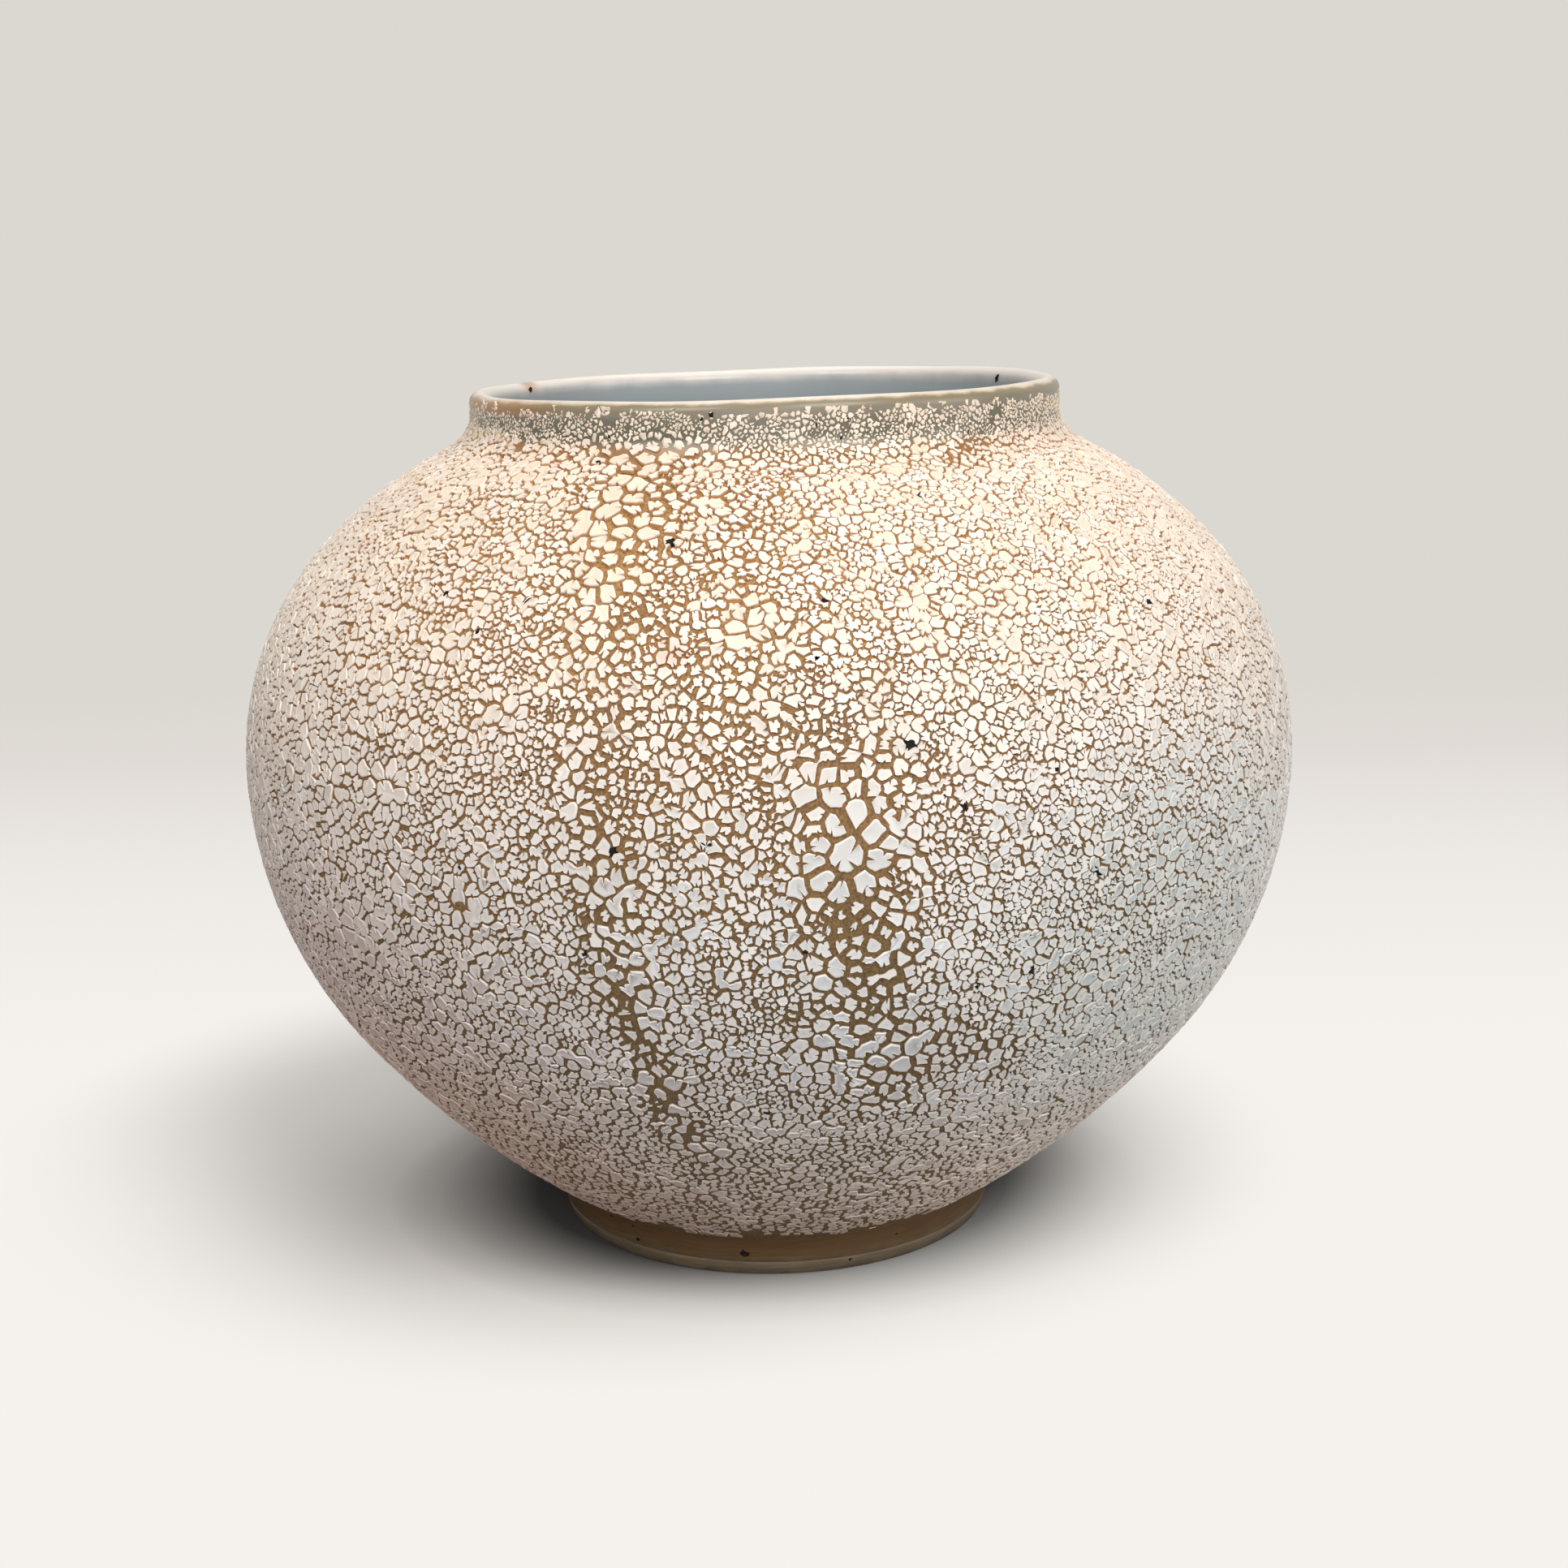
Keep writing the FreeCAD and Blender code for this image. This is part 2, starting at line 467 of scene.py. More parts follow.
class Crawl:
    """How the glaze crawled over the whole jar, kept on a grid of the map.

    Sizes are an island, a gap and a joined share, as a run has them.
    """

    columns = 480
    rows = 320
    mid_gap = 0.36
    mid_sizes = (2.15, mid_gap, 0.12)
    low_sizes = (2.6, 0.82, 0.15)
    low_shares = (0.8, 0.85, 1)
    low_zone = (62, 22)
    speck_sizes = (0.95, 0.22, 0.2)
    speck_zone = (176.3, 179.2)
    back_growth = 0.22
    sway = 0.3
    sway_length = 45.0
    # The specks thin out up the collar and stop under the lip, higher at the right than the left.
    thinned = 0.08
    thin_zone = (178.5, 183)
    bare_zone = (183.4, 184.5)
    lift = 0.55
    lift_azimuth = 20
    # The glaze ends in a wandering hem above the foot, with one bare bay near the front.
    hem_height = 11.2
    hem_sway = 2.0
    hem_sway_length = 9.0
    bay_azimuth = -5.5
    bay_half_width = 4
    bay_rise = 2.8

    def __init__(self, surface: Surface) -> None:
        """Lay the runs over an even crawl that sways a little.

        Args:
            surface: The outer face.
        """
        self.surface = surface
        across = np.arange(self.columns) * TURN / self.columns
        along = np.linspace(0, surface.top, self.rows)
        self.across, self.along = np.meshgrid(across, along)
        height = surface.height(self.along)
        places = surface.place(self.across.ravel(), self.along.ravel(), 0)
        sway = drift(places, self.sway_length)[:, 0].reshape(height.shape)
        fine = drift(places, self.sway_length / 4)[:, 1].reshape(height.shape)
        uneven = 1 + self.sway * sway + self.sway / 3 * fine
        self.island, self.gap = (size * uneven for size in self.mid_sizes[:2])
        self.island *= 1 + self.back_growth * (1 - np.cos(self.across)) / 2
        self.joined = np.full(height.shape, self.mid_sizes[2])
        for run in SEEN_RUNS + HIDDEN_RUNS:
            self._lay_run(run)
        self._lay(self.low_sizes, smooth_step(*self.low_zone, height), self.low_shares)
        self._lay(self.speck_sizes, smooth_step(*self.speck_zone, height))
        self._lay_run(COLLAR_RUN)
        lift = self.lift + self.lift * np.sin(self.across + math.radians(self.lift_azimuth))
        self.missing = self.thinned * smooth_step(*self.thin_zone, height)
        self.missing += smooth_step(*self.bare_zone, height - lift)
        bay = half_turn(self.across - math.radians(self.bay_azimuth))
        wander = drift(places, self.hem_sway_length)[:, 2].reshape(height.shape)
        hem = self.hem_height + self.hem_sway * wander
        hem += self.bay_rise * np.exp(-(bay / math.radians(self.bay_half_width)) ** 2)
        self.missing += 0.9 * smooth_step(hem + 0.7, hem - 0.5, height)

    def _lay(self, sizes: Triple, weight: Array, shares: Triple = (1, 1, 1)) -> None:
        """Blend sizes into the three grids, each by its own share of the weight.

        Args:
            sizes: An island, a gap and a joined share.
            weight: How much of them is at each place of the grids.
            shares: How much of the weight each of the three takes.
        """
        grids = zip((self.island, self.gap, self.joined), sizes, shares)
        self.island, self.gap, self.joined = (
            blend(grid, size, weight * share) for grid, size, share in grids
        )

    def _lay_run(self, run: Run) -> None:
        """Blend one run into the grids."""
        weight = run.weight(self.surface, self.across, self.along)
        self._lay((run.island, run.gap, run.joined), weight)

    def read(self, grid: Array, across: Array, along: Array) -> Array:
        """Look a grid up at places of the map, between its columns and rows.

        Args:
            grid: One of the crawl's grids.
            across: Azimuths in radians.
            along: How far along the map.

        Returns:
            One value for each place.
        """
        x = (across % TURN) * self.columns / TURN
        y = np.clip(along / self.surface.top, 0, 1) * (self.rows - 1)
        left = x.astype(int) % self.columns
        low = np.minimum(y.astype(int), self.rows - 2)
        right = (left + 1) % self.columns
        across_share = x - x.astype(int)
        bottom = blend(grid[low, left], grid[low, right], across_share)
        top = blend(grid[low + 1, left], grid[low + 1, right], across_share)
        return blend(bottom, top, y - low)

    def scatter(self, random: np.random.Generator, spread: float = 1.0) -> Array:
        """Strew seeds as thickly as the islands ask.

        Args:
            random: Where the draws come from.
            spread: How many times further apart than the islands.

        Returns:
            One row of across and along for each seed.
        """
        cell = (TURN / self.columns) * (self.surface.top / (self.rows - 1))
        scale = self.surface.radius(self.along) / (self.island * spread)
        share = (scale ** 2).ravel()
        count = round(share.sum() * cell / math.cos(math.pi / 6))
        picked = random.choice(share.size, count, p=share / share.sum())
        shift = random.random((count, 2)) - 0.5
        across = self.across.ravel()[picked] + shift[:, 0] * TURN / self.columns
        along = self.along.ravel()[picked] + shift[:, 1] * self.surface.top / (self.rows - 1)
        return np.stack([across % TURN, np.clip(along, 0, self.surface.top)], axis=1)


@dataclass
class Cell:
    """One cell of the crack pattern.

    It has its corners on the map, the number of the cell beyond each side, and, once its cracks
    are cut, the corners that are left, each with the number of the side after it, and their middle.
    """

    corners: list[Place]
    beyond: list[int]
    sides: list[Side]
    middle: Place = (0.0, 0.0)


@dataclass(frozen=True)
class Island:
    """One island of glaze: the cell that it starts from, its cells, and its outline on the map.

    Each point of the outline comes with the way towards the middle of its cell, in which the
    island's higher rings draw in. So no ring crosses itself at a notch.
    """

    start: int
    cells: list[int]
    outline: list[tuple[float, float, float, float]]


def shrink(corners: list[Place], half: list[float]) -> list[Side]:
    """Move each side of a convex cell inwards and clip the cell by it.

    Args:
        corners: The corners, counterclockwise.
        half: How far each side moves, from the corner of the same number on.

    Returns:
        The corners that are left, each with the number of the side that starts there.
    """
    points = [(x, y, side) for side, (x, y) in enumerate(corners)]
    for side, inset in enumerate(half):
        x0, y0 = corners[side]
        x1, y1 = corners[(side + 1) % len(corners)]
        length = math.hypot(x1 - x0, y1 - y0)
        if length < 1e-9:
            continue
        nx, ny = (y0 - y1) / length, (x1 - x0) / length
        inside = [(x - x0) * nx + (y - y0) * ny - inset for x, y, _ in points]
        clipped = []
        for index, (px, py, label) in enumerate(points):
            qx, qy, _ = points[index + 1 - len(points)]
            here, there = inside[index], inside[index + 1 - len(points)]
            if here >= 0:
                clipped.append((px, py, label))
            if (here >= 0) != (there >= 0):
                share = here / (here - there)
                cut = side if here >= 0 else label
                clipped.append((px + (qx - px) * share, py + (qy - py) * share, cut))
        points = clipped
        if len(points) < 3:
            return []
    return points


class CrackPattern:
    """Cells between cracks, shrunk by half a crack each and joined where cracks stop short."""

    margin = 0.15
    relaxing = 3
    cluster_spread = 3.2
    main_crack = 1.28
    fine_crack = 0.82
    crack_unevenness = 0.3
    narrowest = 0.14
    joined_at_main = 0.25
    largest_group = 3
    draws_per_seed = 8

    def __init__(self, crawl: Crawl) -> None:
        """Draw the whole pattern.

        Args:
            crawl: How large the islands and the gaps are.
        """
        self.crawl = crawl
        self.surface = crawl.surface
        self.random = np.random.default_rng(SEED)
        self.seeds = self._settled_seeds()
        self.cells = self._cells()
        self.joints = self._joints()
        self.islands = self._islands()

    def _ghosts(self, seeds: Array) -> tuple[Array, Array]:
        """Repeat the seeds near the seam on its far side, and mirror those at the two ends.

        Args:
            seeds: One row of across and along for each.

        Returns:
            The seeds and their ghosts, and the number of the seed that each one stands for, which
            is -1 for a mirrored one.
        """
        number = np.arange(len(seeds))
        left, right = seeds[:, 0] < self.margin, seeds[:, 0] > TURN - self.margin
        wide = np.concatenate([seeds, seeds[left] + [TURN, 0], seeds[right] - [TURN, 0]])
        owner = np.concatenate([number, number[left], number[right]])
        for edge in (0.0, self.surface.top):
            near = np.abs(wide[:, 1] - edge) < self.margin
            wide = np.concatenate([wide, wide[near] * [1, -1] + [0, 2 * edge]])
            owner = np.concatenate([owner, np.full(near.sum(), -1)])
        return wide, owner

    def _triangles(self, wide: Array) -> Array:
        """Join the seeds into triangles, counterclockwise.

        Args:
            wide: The seeds and their ghosts.

        Returns:
            The numbers of three seeds for each triangle.
        """
        found = delaunay_2d_cdt([Vector(place) for place in wide.tolist()], [], [], 0, 1e-9)
        triangles = np.array(found[2])
        a, b, c = (wide[triangles[:, i]] for i in range(3))
        ab, ac = b - a, c - a
        turned = ab[:, 0] * ac[:, 1] < ab[:, 1] * ac[:, 0]
        triangles[turned] = triangles[turned][:, ::-1]
        return triangles

    def _settled_seeds(self) -> Array:
        """Scatter the seeds and even them out a little, each towards its neighbours' middle.

        Returns:
            One row of across and along for each.
        """
        seeds = self.crawl.scatter(self.random)
        for _ in range(self.relaxing):
            wide, _ = self._ghosts(seeds)
            triangles = self._triangles(wide)
            total = np.zeros_like(wide)
            count = np.zeros(len(wide))
            for i in range(3):
                for j in (1, 2):
                    np.add.at(total, triangles[:, i], wide[triangles[:, (i + j) % 3]])
                    np.add.at(count, triangles[:, i], 1)
            middle = total[:len(seeds)] / count[:len(seeds), None]
            seeds = blend(seeds, middle, 0.6)
            seeds[:, 0] %= TURN
        return seeds

    def _cells(self) -> list[Cell]:
        """Draw the cell round each seed from the centres of the triangles at it.

        Returns:
            One cell for each seed, with its cracks still to be cut.
        """
        wide, owner = self._ghosts(self.seeds)
        triangles = self._triangles(wide)
        a, b, c = (wide[triangles[:, i]] for i in range(3))
        (abx, aby), (acx, acy) = (b - a).T, (c - a).T
        twice = 2 * (abx * acy - aby * acx)
        ab2, ac2 = ((b - a) ** 2).sum(1), ((c - a) ** 2).sum(1)
        centre = a + np.stack(
            [(acy * ab2 - aby * ac2) / twice, (abx * ac2 - acx * ab2) / twice], axis=1
        )
        middle = (a + b + c) / 3
        seed = triangles.T.ravel()
        corner = np.tile(np.arange(len(triangles)), 3)
        ahead = np.concatenate([triangles[:, i] for i in (2, 0, 1)])
        arm = middle[corner] - wide[seed]
        order = np.lexsort((np.arctan2(arm[:, 1], arm[:, 0]), seed))
        order = order[seed[order] < len(self.seeds)]
        starts = np.searchsorted(seed[order], np.arange(len(self.seeds) + 1))
        places = [tuple(place) for place in centre[corner[order]].tolist()]
        beyond = owner[ahead[order]].tolist()
        spans = zip(starts, starts[1:])
        return [Cell(places[low:high], beyond[low:high], []) for low, high in spans]

    def _clusters(self) -> list[int]:
        """Number the coarse plate that each seed is on, between the main cracks.

        Returns:
            One number for each seed.
        """
        coarse = self.crawl.scatter(self.random, self.cluster_spread)
        tree = kdtree.KDTree(len(coarse))
        for number, place in enumerate(self._on_jar(coarse)):
            tree.insert(place, number)
        tree.balance()
        return [tree.find(place)[1] for place in self._on_jar(self.seeds)]

    def _joints(self) -> list[tuple[int, int]]:
        """Shrink each cell by half of each crack round it, and pair the cells that stay joined.

        Returns:
            The numbers of each two cells whose crack stops short.
        """
        cluster = self._clusters()
        count = len(self.seeds)
        wide = self.crawl.read(self.crawl.gap, *self.seeds.T)
        radius = self.surface.radius(self.seeds[:, 1])
        joined = self.crawl.read(self.crawl.joined, *self.seeds.T)
        uneven = np.exp(self.random.normal(0, self.crack_unevenness, count * self.draws_per_seed))
        chance = self.random.random(count * self.draws_per_seed)
        group = list(range(count))
        size = [1] * count
        width: dict[tuple[int, int], float] = {}
        joints = []

        def leader(member: int) -> int:
            """Return the first cell of the group that a cell is in.

            Args:
                member: The cell.

            Returns:
                The number of the group's first cell.
            """
            while group[member] != member:
                group[member] = group[group[member]]
                member = group[member]
            return member

        for number, cell in enumerate(self.cells):
            for other in cell.beyond:
                if other < number:
                    continue
                pair = (number, other)
                draw = len(width)
                main = cluster[number] != cluster[other]
                here = (wide[number] + wide[other]) / 2
                factor = self.main_crack if main else self.fine_crack
                crack = here * factor ** (self.crawl.mid_gap / here) * uneven[draw]
                width[pair] = max(crack, self.narrowest) / ((radius[number] + radius[other]) / 2)
                one, two = leader(number), leader(other)
                share = (joined[number] + joined[other]) / 2 * (self.joined_at_main if main else 1)
                small = size[one] + size[two] <= self.largest_group
                if one != two and small and chance[draw] < share:
                    group[one] = two
                    size[two] += size[one]
                    joints.append(pair)
        for number, cell in enumerate(self.cells):
            at_end = wide[number] / radius[number]
            pairs = [(min(number, other), max(number, other)) for other in cell.beyond]
            cell.sides = shrink(cell.corners, [width.get(pair, at_end) / 2 for pair in pairs])
            if cell.sides:
                left = len(cell.sides)
                cell.middle = tuple(sum(side[i] for side in cell.sides) / left for i in (0, 1))
        return joints

    def _on_jar(self, places: Array) -> Array:
        """Return places of the map as points of the jar."""
        return self.surface.place(places[:, 0], places[:, 1], 0)

    def _islands(self) -> list[Island]:
        """Trace every group of joined cells as one outline.

        Returns:
            The islands, without those that the glaze left bare.
        """
        joined: dict[int, list[int]] = {}
        for pair in self.joints:
            if all(self.side_to(*ends) is not None for ends in (pair, pair[::-1])):
                joined.setdefault(pair[0], []).append(pair[1])
                joined.setdefault(pair[1], []).append(pair[0])
        missing = self.crawl.read(self.crawl.missing, *self.seeds.T)
        radius = self.surface.radius(self.seeds[:, 1])
        kept = self.random.random(len(self.seeds)) > missing
        draws = self.random.random((len(self.seeds), 4))
        seen = [False] * len(self.seeds)
        islands = []
        for number, cell in enumerate(self.cells):
            if seen[number] or len(cell.sides) < 3:
                continue
            trace = Trace(self, joined, seen, draws, radius)
            trace.walk(number, None)
            if kept[number]:
                islands.append(Island(number, trace.cells, trace.outline))
        return islands

    def side_to(self, number: int, other: int) -> int | None:
        """Return which side of a shrunk cell faces another cell, if it still has one.

        Args:
            number: The shrunk cell.
            other: The cell beyond the side.

        Returns:
            The number of the side, or None.
        """
        beyond = self.cells[number].beyond
        for index, (_, _, side) in enumerate(self.cells[number].sides):
            if beyond[side] == other:
                return index
        return None


def part_way(start: Place, end: Place, share: float) -> Place:
    """Return the place that is this share of the way from one place to another."""
    return start[0] + (end[0] - start[0]) * share, start[1] + (end[1] - start[1]) * share


class Trace:
    """A walk round a group of joined cells, into each crack that stops short and out again."""

    corner_share = 0.14
    cut_corners = 0.3
    side_step = 2.2
    shortest_side = 0.2
    notch_width = 0.5
    notch_share = 0.95
    second_share = 0.75
    third_share = 0.5
    most_notch = 0.22
    open_share = 0.85
    mouth_share = 0.12

    def __init__(
        self, pattern: CrackPattern, joined: dict[int, list[int]], seen: list[bool], draws: Array,
        radius: Array,
    ) -> None:
        """Start with nothing walked.

        Args:
            pattern: The cells.
            joined: The cells that each cell is joined to.
            seen: Whether each cell has been walked.
            draws: Four random values for each cell.
            radius: The jar's radius at each cell.
        """
        self.pattern = pattern
        self.joined = joined
        self.seen = seen
        self.draws = draws
        self.radius = radius
        self.cells: list[int] = []
        self.outline: list[tuple[float, float, float, float]] = []

    def _add(self, places: Iterable[Place], towards: Place) -> None:
        """Add points that draw in towards one place."""
        for x, y in places:
            self.outline.append((x, y, towards[0] - x, towards[1] - y))

    def walk(self, number: int, came_from: int | None) -> None:
        """Walk counterclockwise round one cell, and round those joined to it.

        Args:
            number: The cell.
            came_from: The joined cell that the walk comes from, if any.
        """
        self.seen[number] = True
        self.cells.append(number)
        cell = self.pattern.cells[number]
        count = len(cell.sides)
        entry = 0 if came_from is None else self.pattern.side_to(number, came_from) + 1
        draws = self.draws[number].tolist()
        cut = [(draws[0] * 97 + index * 0.618) % 1 < self.cut_corners for index in range(count)]
        first = int(draws[2] * 4) if draws[3] * 7 % 1 < self.notch_share else -1
        second = first + 2 if first >= 0 and draws[1] * 5 % 1 < self.second_share else -1
        third = first + 4 if second > 0 and draws[0] * 11 % 1 < self.third_share else -1
        for step in range(count if came_from is None else count - 1):
            index = (entry + step) % count
            start = cell.sides[index]
            end = cell.sides[(index + 1) % count]
            other = cell.beyond[start[2]]
            if other in self.joined.get(number, ()) and not self.seen[other]:
                self._cross(start, end, number, other, draws)
            else:
                low = self.corner_share if cut[index] else 0.0
                high = [1 - self.corner_share] if cut[(index + 1) % count] else []
                notched = step in (first, second, third)
                self._follow(start, end, number, low, high, draws, notched)

    def _follow(
        self, start: Side, end: Side, number: int, low: float, high: list[float],
        draws: list[float], notched: bool,
    ) -> None:
        """Follow one side along an open crack, with a notch in it where it is long enough.

        Args:
            start: Its first corner.
            end: Its last corner.
            number: The cell.
            low: How far along the side the outline starts.
            high: How far along it the outline ends, where the last corner is cut.
            draws: The cell's random values.
            notched: Whether it may have a notch.
        """
        middle = self.pattern.cells[number].middle
        dx, dy = end[0] - start[0], end[1] - start[1]
        length = math.hypot(dx, dy) * self.radius[number]
        if length < self.shortest_side:
            self._add([(start[0] + dx / 2, start[1] + dy / 2)], middle)
            return
        if notched and length > 1.4 * self.notch_width:
            spot = 0.4 + 0.2 * draws[1]
            half = min(self.notch_width * (0.45 + 0.35 * draws[0]) / length, self.most_notch)
            deep = 0.45 + 0.35 * draws[3]
            x, y = part_way(start, end, spot)
            lean = (draws[2] * 13 % 1 - 0.5) * 0.5
            tip = (x + (middle[0] - x) * deep + dx * lean * deep,
                   y + (middle[1] - y) * deep + dy * lean * deep)
            before = [part_way(start, end, share) for share in (low, spot - half)]
            after = [part_way(start, end, share) for share in (spot + half, *high)]
            self._add(before, ((start[0] + middle[0]) / 2, (start[1] + middle[1]) / 2))
            self._add([tip], middle)
            self._add(after, ((end[0] + middle[0]) / 2, (end[1] + middle[1]) / 2))
            return
        inner = round(length / self.side_step)
        shares = [low] + [(i + 1) / (inner + 1) for i in range(inner)] + high
        self._add([part_way(start, end, share) for share in shares], middle)

    def _cross(self, start: Side, end: Side, number: int, other: int, draws: list[float]) -> None:
        """Follow a crack to where it stops, go round the joined cell, and come back beyond it.

        Args:
            start: The first corner of this cell's side.
            end: Its last corner.
            number: This cell.
            other: The joined cell.
            draws: This cell's random values.
        """
        here = self.pattern.cells[number].middle
        cell = self.pattern.cells[other]
        index = self.pattern.side_to(other, number)
        far_end = cell.sides[index]
        far_start = cell.sides[(index + 1) % len(cell.sides)]
        wrap = round((start[0] - far_start[0]) / TURN) * TURN
        there = (cell.middle[0] + wrap, cell.middle[1])

        def far(share: float) -> Place:
            """Return a point of the far side."""
            x, y = part_way(far_start, far_end, share)
            return x + wrap, y

        def between(share: float) -> Place:
            """Return a point in the middle of the crack."""
            return part_way(part_way(start, end, share), far(share), 0.5)

        first = 0.25 + 0.25 * draws[2] if draws[0] < self.open_share else 0
        second = 0.25 + 0.25 * draws[3] if draws[1] < self.open_share else 0
        bridge = between(0.5 + (first - second) / 2)
        if first:
            self._add([part_way(start, end, first * self.mouth_share)], here)
            self._add([between(first)], bridge)
            self._add([far(first * self.mouth_share)], there)
        else:
            self._add([between(0)], bridge)
        self.walk(other, number)
        if second:
            self._add([far(1 - second * self.mouth_share)], there)
            self._add([between(1 - second)], bridge)
            self._add([part_way(start, end, 1 - second * self.mouth_share)], here)
        else:
            self._add([between(1)], bridge)


# Materials

BLENDED = {"data_type": "RGBA"}
MULTIPLIED = {"data_type": "RGBA", "blend_type": "MULTIPLY"}


def add_node(tree: NodeTree, kind: str, links: dict | None = None, **settings: object) -> Node:
    """Add a shader node.

    Args:
        tree: The material's or world's tree.
        kind: The node's type, without the words that all types start with.
        links: What each input takes, by name or number: a socket to link, a node whose first
            output in use is linked, a hex colour, or another value to set.
        settings: Values for the node's own properties. The stops of a colour ramp are its
            positions and hex colours.

    Returns:
        The node.
    """
    added = tree.nodes.new("ShaderNode" + kind)
    for name, value in settings.items():
        if name == "stops":
            ramp = added.color_ramp
            while len(ramp.elements) < len(value):
                ramp.elements.new(1)
            for element, (position, colour) in zip(ramp.elements, value):
                element.position = position
                element.color = linear(colour)
        else:
            setattr(added, name, value)
    for key, value in (links or {}).items():
        if isinstance(value, Node):
            value = next(socket for socket in value.outputs if socket.enabled)
        if isinstance(value, bpy.types.NodeSocket):
            tree.links.new(value, added.inputs[key])
        else:
            value = linear(value) if isinstance(value, str) else value
            added.inputs[key].default_value = value
    return added


@dataclass(frozen=True)
class Patch:
    """A patch of another colour round one place, full at its core and gone at its edge."""

    middle: Triple
    edge: float
    core: float
    colour: str
    most: float = 1.0
    blend_type: str = "MIX"

    def over(self, tree: NodeTree, place: bpy.types.NodeSocket, colour: Node) -> Node:
        """Lay the patch over a colour and return the node of both.

        Args:
            tree: The material's tree.
            place: The Object coordinates.
            colour: The node of the colour under the patch.

        Returns:
            The node of the two together.
        """
        middle = tuple(size * MM for size in self.middle)
        away = add_node(tree, "VectorMath", {0: place, 1: middle}, operation="DISTANCE")
        span = {"From Min": self.edge * MM, "From Max": self.core * MM, "To Max": self.most}
        near = add_node(tree, "MapRange", {"Value": away, **span}, interpolation_type="SMOOTHSTEP")
        links = {"Factor": near, "A": colour, "B": self.colour}
        return add_node(tree, "Mix", links, data_type="RGBA", blend_type=self.blend_type)


@dataclass(frozen=True)
class Finish:
    """A finish of one surface; each kind builds its own material."""

    name: str

    def material(self) -> Material:
        """Build the material with the finish's own nodes.

        Returns:
            The material.
        """
        made = bpy.data.materials.new(self.name)
        made.use_nodes = True
        made.node_tree.nodes.clear()
        add_node(made.node_tree, "OutputMaterial", {"Surface": self.dress(made.node_tree)})
        return made

    def dress(self, tree: NodeTree) -> Node:
        """Add the nodes and return the shader.

        Args:
            tree: The material's empty tree.

        Returns:
            The node of the shader.
        """
        raise NotImplementedError


